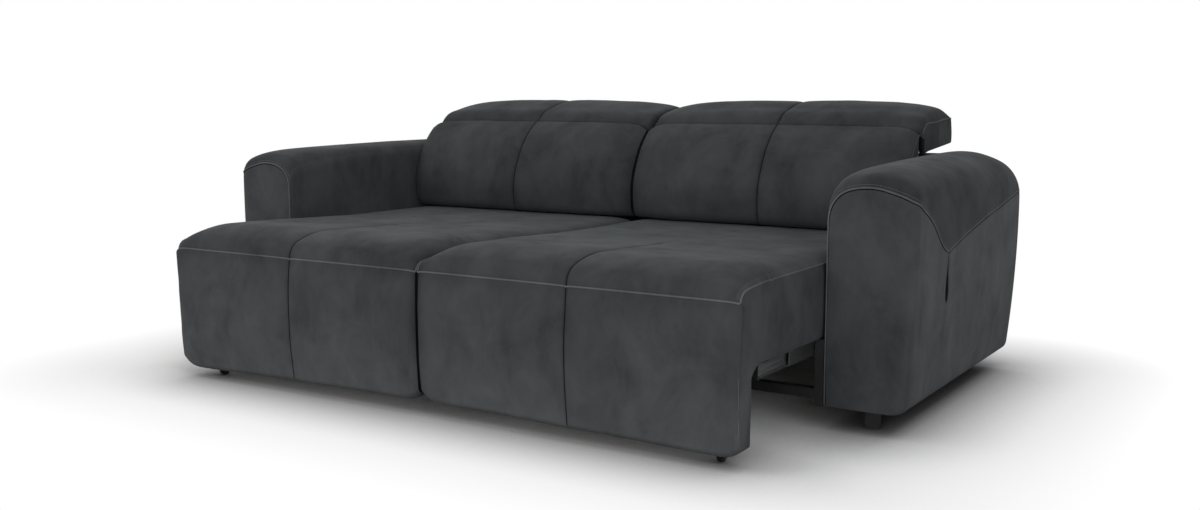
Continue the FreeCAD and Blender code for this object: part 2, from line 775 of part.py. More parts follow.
def make_back_ribs():
    """Upright boards between the two rails and back to the rear cover."""
    y1 = back_rear_y - board
    ribs = []
    for x in (-arm_inner_x, -0.5 * board, arm_inner_x - board):
        upright = box(x, x + board, back_plane_y, back_plane_y + rail_deep,
                      lower_rail_z + rail_high, upper_rail_z - rail_high)
        web = box(x, x + board, back_plane_y + rail_deep, y1, lower_rail_z, back_top_z - top_board)
        ribs.append(joined([upright, web]))
    return ribs


def make_back_top():
    """Flat covered board along the top of the back."""
    x = arm_inner_x
    return box(-x, x, back_plane_y + rail_deep + 24.0, back_rear_y, back_top_z - top_board, back_top_z)


def make_back_cover():
    """Rear panel, down to the arms' lower edge."""
    x = arm_inner_x + cover_lap
    return box(-x, x, back_rear_y - board, back_rear_y, arm_bottom_z, back_top_z - top_board)


def place_all():
    """Centre the whole object on the origin and write every node."""
    fronts = parts["right_front_pad"][0].optimalBoundingBox(False, False)
    rears = parts["right_headrest_pad"][0].optimalBoundingBox(False, False)
    centre = 0.5 * (fronts.YMin + rears.YMax)
    os.makedirs("parts", exist_ok=True)
    for name, solids in parts.items():
        shape = Part.makeCompound(solids) if len(solids) > 1 else solids[0]
        shape.translate(Vector(0, -centre, 0))
        shape.exportStep("parts/" + name + ".step")


keep_pair("seat_pad", make_seat_pad())
keep_pair("front_pad", make_front_pad())
keep_pair("front_board", make_front_board())
keep_pair("seat_frame", make_seat_frame())
keep_pair("seat_webbing", make_seat_webbing())
keep_pair("seat_runners", make_runners())
keep_both("slide_outer", make_outer_members())
keep_pair("slide_middle", make_middle_members())
keep_pair("slide_cages", make_slide_glides())
keep_pair("slide_inner", make_inner_members())
keep_pair("caster_bracket", make_caster_bracket())
keep_pair("caster_axle", make_caster_axle())
keep_pair("caster_wheel", make_wheel())
keep_pair("back_cushion", make_back_cushion())
keep_both("back_webbing", make_back_webbing())
keep_pair("headrest_pad", make_headrest_pad())
keep_pair("headrest_board", headrest_board_shape())
keep_both("hinge_plates", make_hinge_plates())
keep_pair("hinge_arms", make_hinge_arms())
keep_both("hinge_pins", make_hinge_pins())
keep_pair("hinge_pawls", make_pawls())
keep_pair("arm_pad", make_arm())
keep_pair("arm_front", make_arm_front())
keep_both("arm_frames", make_arm_frame())
keep_both("arm_soles", make_arm_sole())
keep_both("side_boards", make_side_board())
keep_both("arm_feet", make_feet())
keep("front_rail", make_front_rail())
keep("rear_rail", make_rear_rail())
keep("centre_beam", make_centre_beam())
keep("centre_foot", make_centre_foot())
keep("back_rails", make_back_rails())
keep("back_ribs", make_back_ribs())
keep("back_top", make_back_top())
keep("back_cover", make_back_cover())
place_all()
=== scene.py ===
import json
import math

import bmesh
import bpy
import numpy as np
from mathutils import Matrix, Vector, noise
from mathutils.bvhtree import BVHTree
from mathutils.kdtree import KDTree


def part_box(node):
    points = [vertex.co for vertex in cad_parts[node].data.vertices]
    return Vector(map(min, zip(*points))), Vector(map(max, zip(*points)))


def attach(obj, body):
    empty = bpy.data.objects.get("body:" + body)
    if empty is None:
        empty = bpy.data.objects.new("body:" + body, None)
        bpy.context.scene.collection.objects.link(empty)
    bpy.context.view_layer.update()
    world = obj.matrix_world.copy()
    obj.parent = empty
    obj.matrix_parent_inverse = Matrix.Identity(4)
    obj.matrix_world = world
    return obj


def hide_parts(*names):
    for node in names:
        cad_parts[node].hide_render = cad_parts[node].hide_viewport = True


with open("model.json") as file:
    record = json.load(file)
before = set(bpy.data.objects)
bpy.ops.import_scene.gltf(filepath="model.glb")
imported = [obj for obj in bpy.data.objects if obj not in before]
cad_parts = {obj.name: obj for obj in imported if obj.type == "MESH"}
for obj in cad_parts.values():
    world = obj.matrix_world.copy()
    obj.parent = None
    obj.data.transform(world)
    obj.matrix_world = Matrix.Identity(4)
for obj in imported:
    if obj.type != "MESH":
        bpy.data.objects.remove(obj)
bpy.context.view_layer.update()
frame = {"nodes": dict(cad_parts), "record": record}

bl_info = {
    "name": "Pull-out velvet sofa",
    "version": (1, 0, 0),
    "blender": (4, 5, 0),
    "location": "View3D > Sidebar > Sofa",
    "description": "Velvet covers, seams and finishes for a two-seat sofa with pull-out seats",
    "category": "Object",
}

# Outlines are written in millimetres: X across, Y back from the front seam of the seats, Z up.
# Everything is drawn for the right-hand side and mirrored for the left.

MM = 0.001
PER_M = 1000.0
SIDES = (("right", 1.0), ("left", -1.0))
ARM_FRONT = 475.0
ARM_WIDTH = 239.0
ARM_LENGTH = 1000.0
# how far the undersides of the arm and headrest covers lie above those of the solids
UNDER_GAP = 1.2


def span_x(node):
    """Where a node of the frame begins and ends across the sofa, in millimetres."""
    low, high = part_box(node)
    return low.x * PER_M, high.x * PER_M


front_seam_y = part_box("right_arm_pad")[0].y - ARM_FRONT * MM
seat_x0, seat_x1 = span_x("right_seat_pad")
seat_middle = 0.5 * (seat_x0 + seat_x1)
arm_inner = span_x("right_arm_pad")[0]


def to_frame(points, side=1.0):
    """Millimetre points into metres of the sofa's frame, mirrored for the left side."""
    out = np.asarray(points, float) * MM
    out[..., 0] *= side
    out[..., 1] += front_seam_y
    return out


# Lines and outlines

def arc(start, through, end, count):
    """Points on the circle arc from start through a middle point, end left out."""
    a, b, c = (np.asarray(p, float) for p in (start, through, end))
    cross = (b[0] - a[0]) * (c[1] - a[1]) - (b[1] - a[1]) * (c[0] - a[0])
    if abs(cross) < 1e-6:
        return line(start, end, count)
    d = 2.0 * (a[0] * (b[1] - c[1]) + b[0] * (c[1] - a[1]) + c[0] * (a[1] - b[1]))
    aa, bb, cc = a @ a, b @ b, c @ c
    centre = np.array([(aa * (b[1] - c[1]) + bb * (c[1] - a[1]) + cc * (a[1] - b[1])) / d,
                       (aa * (c[0] - b[0]) + bb * (a[0] - c[0]) + cc * (b[0] - a[0])) / d])
    radius = np.linalg.norm(a - centre)
    first = math.atan2(a[1] - centre[1], a[0] - centre[0])
    last = math.atan2(c[1] - centre[1], c[0] - centre[0])
    sweep = (last - first) % (2.0 * math.pi)
    if cross < 0.0:
        sweep -= 2.0 * math.pi
    angles = first + sweep * np.arange(count) / count
    return centre + radius * np.stack([np.cos(angles), np.sin(angles)], axis=1)


def line(start, end, count):
    """Points on the straight line, end left out."""
    t = np.arange(count)[:, None] / count
    return np.asarray(start, float) * (1.0 - t) + np.asarray(end, float) * t


def trace(start, *steps):
    """A polyline from steps ('line', end, count) or ('arc', through, end, count), end included."""
    here = np.asarray(start, float)
    pieces = []
    for step in steps:
        end = np.asarray(step[-2], float)
        if step[0] == "line":
            pieces.append(line(here, end, step[-1]))
        else:
            pieces.append(arc(here, step[1], end, step[-1]))
        here = end
    pieces.append(here[None])
    return np.concatenate(pieces)


def run_along(points):
    """How far along the polyline each of its points lies."""
    return np.concatenate([[0.0], np.cumsum(np.linalg.norm(np.diff(points, axis=0), axis=1))])


def picked(points, run, stops):
    """Points at these distances along the polyline."""
    return np.stack([np.interp(stops, run, points[:, k]) for k in range(points.shape[1])], axis=1)


def resample(points, count):
    """The polyline again with count + 1 points, evenly spaced."""
    points = np.asarray(points, float)
    run = run_along(points)
    return picked(points, run, np.linspace(0.0, 1.0, count + 1) * run[-1])


def softened(points, times):
    """The polyline with its corners eased; its ends stay."""
    out = np.array(points, float)
    for _ in range(times):
        out[1:-1] = 0.25 * out[:-2] + 0.5 * out[1:-1] + 0.25 * out[2:]
    return out


def in_side_view(x, points):
    """(y, z) points set at this x."""
    return np.column_stack([np.full(len(points), x), points])


# Meshes

def new_piece(name, vertices, faces, side=1.0):
    """An object from points in millimetres; faces turn over on the left."""
    mesh = bpy.data.meshes.new(name)
    if side < 0.0:
        faces = [tuple(reversed(f)) for f in faces]
    mesh.from_pydata(to_frame(vertices, side).tolist(), [], faces)
    mesh.update()
    mesh.shade_smooth()
    piece = bpy.data.objects.new(name, mesh)
    bpy.context.scene.collection.objects.link(piece)
    return piece


def patch(a, b, first, last):
    """Points of a face spanned between four border lines; a runs over b, from first to last."""
    u = np.linspace(0.0, 1.0, len(a))[:, None, None]
    v = np.linspace(0.0, 1.0, len(first))[None, :, None]
    ruled = (1.0 - v) * a[:, None] + v * b[:, None]
    ends = (1.0 - u) * first[None] + u * last[None]
    corners = ((1.0 - u) * (1.0 - v) * a[0] + (1.0 - u) * v * b[0]
               + u * (1.0 - v) * a[-1] + u * v * b[-1])
    return ruled + ends - corners


def padded_block(name, stations, swell, side=1.0, sewn=None, squareness=0.45):
    """A closed pad through stations, each with four border lines (a, b, first, last).
    swell is how far each end face bulges outwards, in millimetres; sewn(end, point) tells
    whether the end face's outline has a seam at a point; a low squareness fills its corners more."""
    long = len(stations[0][0])
    wide = len(stations[0][2])
    rings = [np.concatenate([a, last[1:-1], b[::-1], first[-2:0:-1]]) for a, b, first, last in stations]
    around = len(rings[0])
    vertices = [p for ring in rings for p in ring]
    faces = []
    for r in range(len(rings) - 1):
        for i in range(around):
            j = (i + 1) % around
            faces.append((r * around + i, r * around + j, (r + 1) * around + j, (r + 1) * around + i))

    def border(i, j):
        if j == 0:
            return i
        if i == long - 1:
            return long - 1 + j
        if j == wide - 1:
            return long + wide - 2 + (long - 1 - i)
        if i == 0:
            return around - j
        return None

    for end in (0, len(rings) - 1):
        grid = patch(*stations[end])
        beyond = rings[end].mean(axis=0) - rings[1 if end == 0 else end - 1].mean(axis=0)
        way = np.zeros(3)
        most = int(np.argmax(np.abs(beyond)))
        way[most] = math.copysign(1.0, beyond[most])
        index = np.zeros((long, wide), int)
        for i in range(long):
            for j in range(wide):
                k = border(i, j)
                if k is None:
                    rise = swell[0 if end == 0 else 1]
                    full = math.sin(math.pi * i / (long - 1)) * math.sin(math.pi * j / (wide - 1))
                    index[i, j] = len(vertices)
                    vertices.append(grid[i, j] + way * rise * full ** squareness)
                else:
                    index[i, j] = end * around + k
        for i in range(long - 1):
            for j in range(wide - 1):
                quad = (index[i, j], index[i + 1, j], index[i + 1, j + 1], index[i, j + 1])
                faces.append(tuple(int(v) for v in (quad if end == 0 else reversed(quad))))
    piece = new_piece(name, vertices, faces, side)
    rims = set()
    for end in (0, len(rings) - 1):
        rims.update((end, i) for i in range(around) if sewn is None or sewn(end, rings[end][i]))
    crease_rims(piece, around, rims)
    outward(piece)
    return piece


def crease_rims(piece, around, rims):
    """Marks the sewn part of the outlines of the end faces."""
    mesh = piece.data
    crease = mesh.attributes.new("crease_edge", "FLOAT", "EDGE")
    for edge in mesh.edges:
        ends = [divmod(v, around) for v in edge.vertices]
        if ends[0][0] == ends[1][0] and rims.issuperset(ends):
            crease.data[edge.index].value = 1.0
            edge.use_edge_sharp = True


def outward(piece):
    """Turns the faces so that they all look out."""
    shape = bmesh.new()
    shape.from_mesh(piece.data)
    bmesh.ops.recalc_face_normals(shape, faces=shape.faces)
    shape.to_mesh(piece.data)
    shape.free()


def applied(piece):
    """Replaces the piece's mesh by what its modifiers make of it."""
    graph = bpy.context.evaluated_depsgraph_get()
    mesh = bpy.data.meshes.new_from_object(piece.evaluated_get(graph))
    piece.modifiers.clear()
    piece.data = mesh


def refined(piece):
    """Rounds a cover by one level of subdivision."""
    rounder = piece.modifiers.new("rounder", "SUBSURF")
    rounder.levels = rounder.render_levels = 1
    applied(piece)


def rectangle(y0, y1, z0, z1):
    """An upright rectangle as (y, z) points."""
    return [(y0, z0), (y1, z0), (y1, z1), (y0, z1)]


def drawn_out(name, outline, x0, x1, side, fill=None):
    """A closed block: an outline of (y, z) points, drawn out from x0 to x1.
    fill holds the faces inside the outline where a single one isn't enough."""
    count = len(outline)
    corners = [(x, y, z) for x in (x0, x1) for y, z in outline]
    faces = []
    for face in fill or [tuple(range(count))]:
        faces.extend((face, tuple(count + v for v in face)))
    faces.extend((i, (i + 1) % count, count + (i + 1) % count, count + i) for i in range(count))
    block = new_piece(name, corners, faces, side)
    outward(block)
    return block


def cut_away(piece, outline, x0, x1, side):
    """Cuts a recess into a cover."""
    block = drawn_out("recess_block", outline, x0, x1, side)
    cutter = piece.modifiers.new("recess", "BOOLEAN")
    cutter.object = block
    cutter.solver = "EXACT"
    applied(piece)
    bpy.data.objects.remove(block)


# sides of a seam's round cord, and the share of its thickness that is left at its ends
CORD_SIDES = 8
CORD_END = 0.55


def tube_points(points, radius):
    """Rings of a round cord of fabric along a polyline, thinner at both ends."""
    points = np.asarray(points, float)
    ways = np.gradient(points, axis=0)
    ways /= np.linalg.norm(ways, axis=1)[:, None]
    up = np.array([0.0, 0.0, 1.0]) if abs(ways[0][2]) < 0.9 else np.array([1.0, 0.0, 0.0])
    rings = []
    for k, (point, way) in enumerate(zip(points, ways)):
        up = up - way * (up @ way)
        up /= np.linalg.norm(up)
        across = np.cross(way, up)
        size = radius * (CORD_END if k in (0, len(points) - 1) else 1.0)
        angles = 2.0 * math.pi * np.arange(CORD_SIDES) / CORD_SIDES
        rings.append(point + size * (np.cos(angles)[:, None] * across + np.sin(angles)[:, None] * up))
    return rings


def make_welt(name, lines, radius, body, side=1.0, finish="seam_highlight_velvet"):
    """Raised seams, lighter by default as a painted highlight, or dark ones sunk in a fold as painted shade:
    one tube of fabric along each line.
    """
    vertices = []
    faces = []
    sides = CORD_SIDES
    for points in lines:
        start = len(vertices)
        rings = tube_points(points, radius)
        for ring in rings:
            vertices.extend(ring)
        for r in range(len(rings) - 1):
            for i in range(sides):
                j = (i + 1) % sides
                faces.append(tuple(start + v for v in (r * sides + i, r * sides + j,
                                                       (r + 1) * sides + j, (r + 1) * sides + i)))
        faces.append(tuple(start + i for i in reversed(range(sides))))
        faces.append(tuple(start + (len(rings) - 1) * sides + i for i in range(sides)))
    piece = new_piece(name, vertices, faces, side)
    outward(piece)
    dress(piece, finish, body)


def dress(piece, finish, body, *nodes):
    """Gives a piece its material, the body it moves with and the CAD nodes it stands for."""
    piece.data.materials.clear()
    piece.data.materials.append(finishes[finish])
    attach(piece, body)
    if nodes:
        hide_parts(*nodes)


def surface_of(piece):
    """A tree to look up points on a piece's surface, in metres."""
    mesh = piece.data
    return BVHTree.FromPolygons([v.co for v in mesh.vertices], [p.vertices for p in mesh.polygons])


def paint_light_and_shade(piece, side, light_and_shade):
    """Writes painted light and shade into the attribute pile: how much lighter or darker the velvet is
    coloured, from a function of x, y, z in millimetres.
    """
    mesh = piece.data
    spots = np.empty(len(mesh.vertices) * 3)
    mesh.vertices.foreach_get("co", spots)
    spots = spots.reshape(-1, 3) * PER_M
    pile = mesh.attributes.new("pile", "FLOAT", "POINT")
    x, y, z = spots[:, 0] * side, spots[:, 1] - front_seam_y * PER_M, spots[:, 2]
    pile.data.foreach_set("value", light_and_shade(x, y, z))


def welt_thickness():
    """Radius of the raised seams in millimetres."""
    return sizes().welt_radius * PER_M


def sunk_seam_shade(name, piece, points, radius, body, side):
    """A dark tube at the bottom of a sewn channel, pressed a little into the cloth: painted shade along the
    seam.
    """
    pressed_in = 0.3 * radius
    line_on = settled(surface_of(piece), resample(points, 160), side, -pressed_in)
    make_welt(name, [line_on], radius, body, side, "shade_velvet")


# Seats

SEAM_Z = 403.0
SEAT_REAR = 1138.0
SEAT_UNDER = 242.0
# rear side of the front panel, and the height at which it turns into the seat's underside
PANEL_BACK = 64.5
KNEE_Z = 216.0
# points along the front panel up to its seam
FOOT_STEPS = 6
FACE_STEPS = 30
SEAM = FOOT_STEPS + FACE_STEPS
# how deep the cross seam sinks, on it and on the points next to it
CROSS_SEAM_DEPTH = 3.0
CROSS_SEAM_SHARES = (0.25, 0.8, 1.0, 0.8, 0.25)


def seat_light_and_shade(x, y, z):
    """Painted light and shade on the seat: lighter low on the front as painted bounce light, the front a
    little darker all over, darker at the front roll, along the middle seam, just below the front seam, near
    both sides and most at the gap between the seats as painted shade, and lighter on the outer side face as
    painted light.
    """
    s = np.minimum(x - seat_x0, seat_x1 - x)
    d = np.abs(x - seat_middle)
    panel_top = 400.0
    low = np.clip((panel_top - z) / 350.0, 0.0, 1.0) * (y < 40.0)
    roll = np.exp(-np.abs(y - 22.0) / 60.0) * (z > panel_top)
    seam = np.exp(-(d / 5.0) ** 2) * 0.30 + np.exp(-d / 26.0) * 0.12
    seam = seam / (1.0 + np.exp((y - 420.0) / 50.0))
    gap = 0.40 * np.exp(-(x - seat_x0) / 9.0) + 0.14 * np.exp(-s / 30.0)
    under = 0.10 * np.exp(-np.abs(z - 392.0) / 12.0) * (y < 30.0) * (z < 402.0)
    flank = 0.22 * (x > seat_x1 - 12.0) * (y > 2.0)
    return 0.72 * low ** 2.2 - 0.10 * (low > 0.0) - 0.24 * roll - seam - gap - under + flank


def seat_rise(s):
    """How far the crown stands above the side seam, s millimetres in from the side."""
    return 40.0 * (1.0 - math.exp(-s / 32.0))


def cross_seam_y(s):
    """Where the seam across the seat lies, s millimetres in from the side."""
    return 287.0 - 118.0 * math.exp(-(s / 78.0) ** 1.4)


def seat_lines(x):
    """Border lines of the seat at x, front panel included: outside, inside, lower and rear end."""
    s = min(x - seat_x0, seat_x1 - x)
    d = abs(x - seat_middle)
    total = seat_rise(s)
    crown = 9.0 * (1.0 - math.exp(-s / 30.0))
    edge = 435.0 + total - crown
    rear = 436.0 + 14.0 * (1.0 - math.exp(-s / 25.0))
    seam_z = SEAM_Z - 3.0 * math.exp(-s / 14.0)
    bulge = 2.0 + 10.0 * (1.0 - math.exp(-s / 14.0))
    low = 43.0 - 14.0 * (x / seat_x1) ** 2 + 24.0 * math.exp(-(s / 20.0) ** 1.2)
    rise = edge - seam_z
    face = trace((26.0, low), ("arc", (9.0, low + 7.0), (4.0, low + 22.0), FOOT_STEPS),
                 ("arc", (-bulge, 0.5 * (SEAM_Z + low) - 20.0), (0.0, seam_z), FACE_STEPS))
    top = trace((0.0, seam_z), ("arc", (7.0, seam_z + 0.5 * rise), (30.0, seam_z + 0.78 * rise), 24),
                ("arc", (80.0, edge - 3.0 + 0.6 * crown), (156.0, edge + crown), 40),
                ("arc", (430.0, 0.55 * (edge + crown) + 0.45 * rear), (740.0, rear), 90),
                ("line", (SEAT_REAR, rear), 60))
    top = softened(top, 60)
    run = run_along(top)
    seam_at = float(np.interp(cross_seam_y(s), top[:, 0], run))
    before = np.concatenate([
        np.array([0.0, 1.6, 4.0, 8.0, 13.0, 19.0, 27.0, 37.0, 50.0, 65.0, 83.0]),
        np.linspace(100.0, seam_at - 14.0, 8),
    ])
    beside_seam = seam_at + np.array([-6.0, -2.5, 0.0, 2.5, 6.0])
    top = picked(top, run, np.concatenate([before, beside_seam, np.linspace(seam_at + 14.0, run[-1], 46)]))
    fade = 0.35 + 0.65 * math.exp(-(s / 110.0) ** 2)
    for k, share in enumerate(CROSS_SEAM_SHARES, len(before)):
        top[k, 1] -= CROSS_SEAM_DEPTH * fade * share
    # the sewn channel down the middle
    dip = channel_depth(d)
    for k in range(len(top)):
        front_part = math.exp(-top[k, 0] / 25.0)
        back_fade = 1.0 / (1.0 + math.exp((top[k, 0] - 420.0) / 60.0))
        top[k, 0] += dip * 0.5 * front_part
        top[k, 1] -= dip * (1.0 - 0.6 * front_part) * (0.25 + 0.75 * back_fade)
    face[:, 0] += 0.55 * dip * np.clip((face[:, 1] - low) / 60.0, 0.0, 1.0)
    face[-1] = top[0]
    outer = np.concatenate([face, top[1:]])
    inner = trace((PANEL_BACK, low), ("line", (PANEL_BACK, KNEE_Z), SEAM),
                  ("arc", (80.0, 231.0), (106.0, SEAT_UNDER), 8), ("line", (SEAT_REAR, SEAT_UNDER), 69))
    inner = resample_like(inner, outer)
    first = np.stack([outer[0] * (1 - t) + inner[0] * t for t in np.linspace(0, 1, 9)])
    last = np.stack([outer[-1] * (1 - t) + inner[-1] * t for t in np.linspace(0, 1, 9)])
    return tuple(in_side_view(x, p) for p in (outer, inner, first, last))


def channel_depth(d):
    """How deep the cover is drawn in, d millimetres from its middle seam."""
    return 3.2 * math.exp(-d / 45.0) + 3.8 * math.exp(-d / 6.0)


def resample_like(inner, outer):
    """The inner line with as many points as the outer, each about opposite its partner."""
    run = run_along(inner)
    knee = float(np.interp(KNEE_Z, inner[:SEAM + 1, 1], run[:SEAM + 1]))
    stops = np.concatenate([
        np.linspace(0.0, knee, SEAM + 1),
        knee + (run[-1] - knee) * share_of_depth(outer[SEAM:])[1:],
    ])
    return picked(inner, run, stops)


def share_of_depth(points):
    """How far back each point lies, from 0 at the first to 1 at the last."""
    y = points[:, 0].copy()
    y[0] = 0.0
    y = np.maximum.accumulate(y)
    return (y - y[0]) / (y[-1] - y[0])


def spread_x(x0, x1):
    """Stations across a pad, close together at the ends and at the middle seam."""
    near = np.array([0.0, 1.5, 4.0, 8.0, 13.0, 20.0, 29.0, 40.0, 54.0, 72.0])
    half = 0.5 * (x1 - x0)
    mid_near = np.array([38.0, 24.0, 14.0, 8.0, 4.0, 1.8, 0.0])
    left = np.concatenate([near, np.linspace(92.0, half - 58.0, 14), half - mid_near])
    return np.concatenate([x0 + left, (x1 - left)[-2::-1]])


def make_seat(side_name, side):
    """The seat's cover, hollow below for the frame, its channel seam and the welts round its top."""
    body = side_name + "_seat"
    stations = [seat_lines(x) for x in spread_x(seat_x0, seat_x1)]
    middle = seat_lines(seat_middle)[0]
    front = np.array([lines[0][SEAM] for lines in stations])
    seat = padded_block(side_name + "_seat_cover", stations, (1.5, 7.5), side)
    refined(seat)
    puff_corner(seat, side)
    seams = list(front)
    seams.extend(p for x in (seat_x0, seat_x1) for p in seat_lines(x)[0][SEAM::2])
    seams.extend(middle[SEAM::2])
    creased(seat, seams, side, 2.2, 1.0, 45.0)
    wall = 36.0
    frame_room = rectangle(110.0, 1110.0, 230.0, 306.0)
    cut_away(seat, frame_room, seat_x0 + wall, seat_x1 - wall, side)
    dress(seat, "velvet", body, side_name + "_seat_pad", side_name + "_front_pad")
    paint_light_and_shade(seat, side, seat_light_and_shade)
    radius = welt_thickness()
    seen = middle[4:]
    seen = seen[seen[:, 1] < 500.0]
    # painted shade: a dark line down the middle seam of the seat
    sunk_seam_shade(side_name + "_seat_middle_seam", seat, seen, radius * 0.6, body, side)
    front[:, 1] -= 0.4
    make_welt(side_name + "_seat_front_welt", [front], radius, body, side)
    # painted shade on the inner corner seam by the gap between the seats, painted highlight on the outer one
    for end, x, finish, share in (("inner", seat_x0, "shade_velvet", 0.8),
                                  ("outer", seat_x1, "seam_highlight_velvet", 0.45)):
        name = side_name + "_seat_" + end
        outer = seat_lines(x)[0]
        make_welt(name + "_welt", [outer[SEAM:]], radius * 0.9, body, side)
        make_welt(name + "_corner_seam", [outer[2:SEAM + 1]], radius * share, body, side, finish)


def puff_corner(seat, side):
    """The foam pushes the cover out just below the front seam at the seat's outer corner."""
    for vertex in seat.data.vertices:
        x = seat_x1 - vertex.co.x * PER_M * side
        y = (vertex.co.y - front_seam_y) * PER_M
        z = vertex.co.z * PER_M
        below = max(0.0, SEAM_Z - 1.0 - z)
        near = math.exp(-max(x, 0.0) / 26.0 - max(y, 0.0) / 60.0)
        push = 9.0 * near * min(below / 10.0, 1.0) * math.exp(-below / 130.0)
        vertex.co.x += side * push * MM
        vertex.co.y -= 0.4 * push * MM


def creased(piece, seams, side, soft, fine, reach):
    """Lets a cover sink and rise a little: broad dents, and short creases that run out from its seams.
    soft and fine are their heights, and reach is how far from a seam they change over."""
    tree = KDTree(len(seams))
    for i, point in enumerate(to_frame(seams, side)):
        tree.insert(point, i)
    tree.balance()
    mesh = piece.data
    normals = [v.normal.copy() for v in mesh.vertices]
    for vertex, normal in zip(mesh.vertices, normals):
        spot, _, gap = tree.find(vertex.co)
        gap *= PER_M
        away = 1.0 - math.exp(-gap / reach)
        broad = noise.fractal(vertex.co * 5.0, 0.8, 2.1, 3)
        pull = noise.noise(spot * 34.0) + 0.5 * noise.noise(spot * 83.0)
        run_out = math.exp(-gap / reach) * (1.0 - math.exp(-gap / 6.0))
        vertex.co += normal * (MM * (soft * away * min(broad, 0.6) + fine * run_out * pull))


# Back cushions

HINGE_Y = 1330.0
HINGE_Z = 716.0
CUSHION_FOOT = 453.5
CUSHION_REAR = 1290.0
HOLLOW_RADIUS = 107.0


def polar(angle, radius):
    """A (y, z) point round the headrest's hinge; 0 degrees is straight back, 90 straight up."""
    a = math.radians(angle)
    return (HINGE_Y + radius * math.cos(a), HINGE_Z + radius * math.sin(a))


def cushion_lines(x, x0, x1):
    """Border lines of a back cushion at x: face, back, underside and the hollow for the headrest."""
    s = min(x - x0, x1 - x)
    d = abs(x - 0.5 * (x0 + x1))
    sink = 40.0 * math.exp(-(s / 55.0) ** 0.8) + 9.0 * math.exp(-d / 45.0) + 5.0 * math.exp(-d / 7.0)
    low = CUSHION_FOOT
    turn = 148.0 + 16.0 * math.exp(-s / 28.0)
    crest = polar(turn, HOLLOW_RADIUS)
    face = trace((1112.0 + sink, low), ("arc", (1090.0 + sink, low + 8.0), (1082.0 + sink, low + 34.0), 10),
                 ("arc", (1077.0 + sink, 550.0), (1104.0 + 0.9 * sink, 630.0), 20),
                 ("arc", (1143.0 + 0.7 * sink, 700.0 - 0.3 * sink), crest, 20))
    face = resample(softened(face, 12), 40)
    end_angle = 360.0 - math.degrees(math.acos((CUSHION_REAR - HINGE_Y) / HOLLOW_RADIUS))
    end = polar(end_angle, HOLLOW_RADIUS)
    hollow = trace(crest, ("arc", polar(0.5 * (turn + end_angle), HOLLOW_RADIUS), end, 12))
    back = trace((CUSHION_REAR, low), ("line", end, 40))
    bottom = trace((1112.0 + sink, low), ("line", (CUSHION_REAR, low), 12))
    return tuple(in_side_view(x, p) for p in (face, back, bottom, hollow))


def pad_light_and_shade(x0, x1, whole):
    """Painted shade on a back cushion or headrest: darker all over by the given share, and darker still along
    the middle channel and at the ends.
    """
    def light_and_shade(x, y, z):
        d = np.abs(x - 0.5 * (x0 + x1))
        s = np.minimum(x - x0, x1 - x)
        channel = whole - 0.26 * np.exp(-(d / 5.0) ** 2) - 0.12 * np.exp(-d / 30.0)
        return channel - 0.22 * np.exp(-s / 16.0)
    return light_and_shade


def make_back_cushion(side_name, side):
    """A back cushion's cover with its channel seam and the seams down its ends."""
    x0, x1 = span_x("right_back_cushion")
    middle = 0.5 * (x0 + x1)
    faces = {x: cushion_lines(x, x0, x1)[0] for x in (x0, middle, x1)}
    stations = [cushion_lines(x, x0, x1) for x in spread_x(x0, x1)]
    cushion = padded_block(side_name + "_back_cushion_cover", stations, (1.5, 3.0), side)
    refined(cushion)
    seams = [p for face in faces.values() for p in face[::2]]
    creased(cushion, seams, side, -2.5, 1.6, 60.0)
    dress(cushion, "velvet", "base", side_name + "_back_cushion")
    paint_light_and_shade(cushion, side, pad_light_and_shade(x0, x1, -0.16))
    radius = welt_thickness()
    # painted shade: a dark line down the middle seam of the cushion
    sunk_seam_shade(side_name + "_back_middle_seam", cushion, faces[middle][4:], radius * 0.6, "base", side)
    # painted shade on the inner end seam between the cushions
    for end, x, finish in (("inner", x0, "shade_velvet"), ("outer", x1, "velvet")):
        name = side_name + "_back_" + end + "_seam"
        make_welt(name, [faces[x][4:]], radius * 0.7, "base", side, finish)


# Headrests

HEADREST_MIDDLE = 477.0
HEADREST_REAR = 1572.0
# where the two hinges sit across a headrest, and half the width of their slots
HINGES_X = (190.0, 769.5)
SLOT_HALF = 9.0


def headrest_under(y):
    """Height of the headrest's underside, which rises a little to the rear."""
    return 691.0 + 0.085 * (y - HINGE_Y) + UNDER_GAP


def headrest_lines(x, x0, x1):
    """Border lines of a headrest at x: crown, underside, front and rear edge."""
    s = min(x - x0, x1 - x)
    d = abs(x - HEADREST_MIDDLE)
    full = 0.52 * (1.0 - math.exp(-s / 3.5)) + 0.48 * (1.0 - math.exp(-(s / 75.0) ** 0.9))
    nose = 64.0 + full * 40.0 - 5.0 * math.exp(-d / 8.0)
    top = 788.0 + full * 62.0 - 5.0 * math.exp(-d / 7.0) - 3.0 * math.exp(-d / 40.0)
    rear = HEADREST_REAR
    rear_top = 792.0 + 8.0 * full
    crease = polar(152.0 - 6.0 * full, nose)
    under = (HINGE_Y - 14.0, headrest_under(HINGE_Y - 14.0))
    crown = trace(crease, ("arc", polar(120.0, nose), polar(92.0, nose), 14),
                  ("arc", (HINGE_Y + 68.0, top - 7.0), (HINGE_Y + 136.0, top), 14),
                  ("arc", (HINGE_Y + 190.0, 0.5 * (top + rear_top) + 5.0 * full), (rear - 6.0, rear_top), 14))
    crown = resample(softened(crown, 10), 42)
    front = trace(crease, ("arc", polar(188.0, 62.0), under, 12))
    back = trace((rear - 6.0, rear_top),
                 ("arc", (rear + 2.0 + 6.0 * full, 0.5 * (rear_top + headrest_under(rear))),
                  (rear, headrest_under(rear)), 12))
    flat = trace(under, ("line", (rear, headrest_under(rear)), 42))
    return tuple(in_side_view(x, p) for p in (crown, flat, front, back))


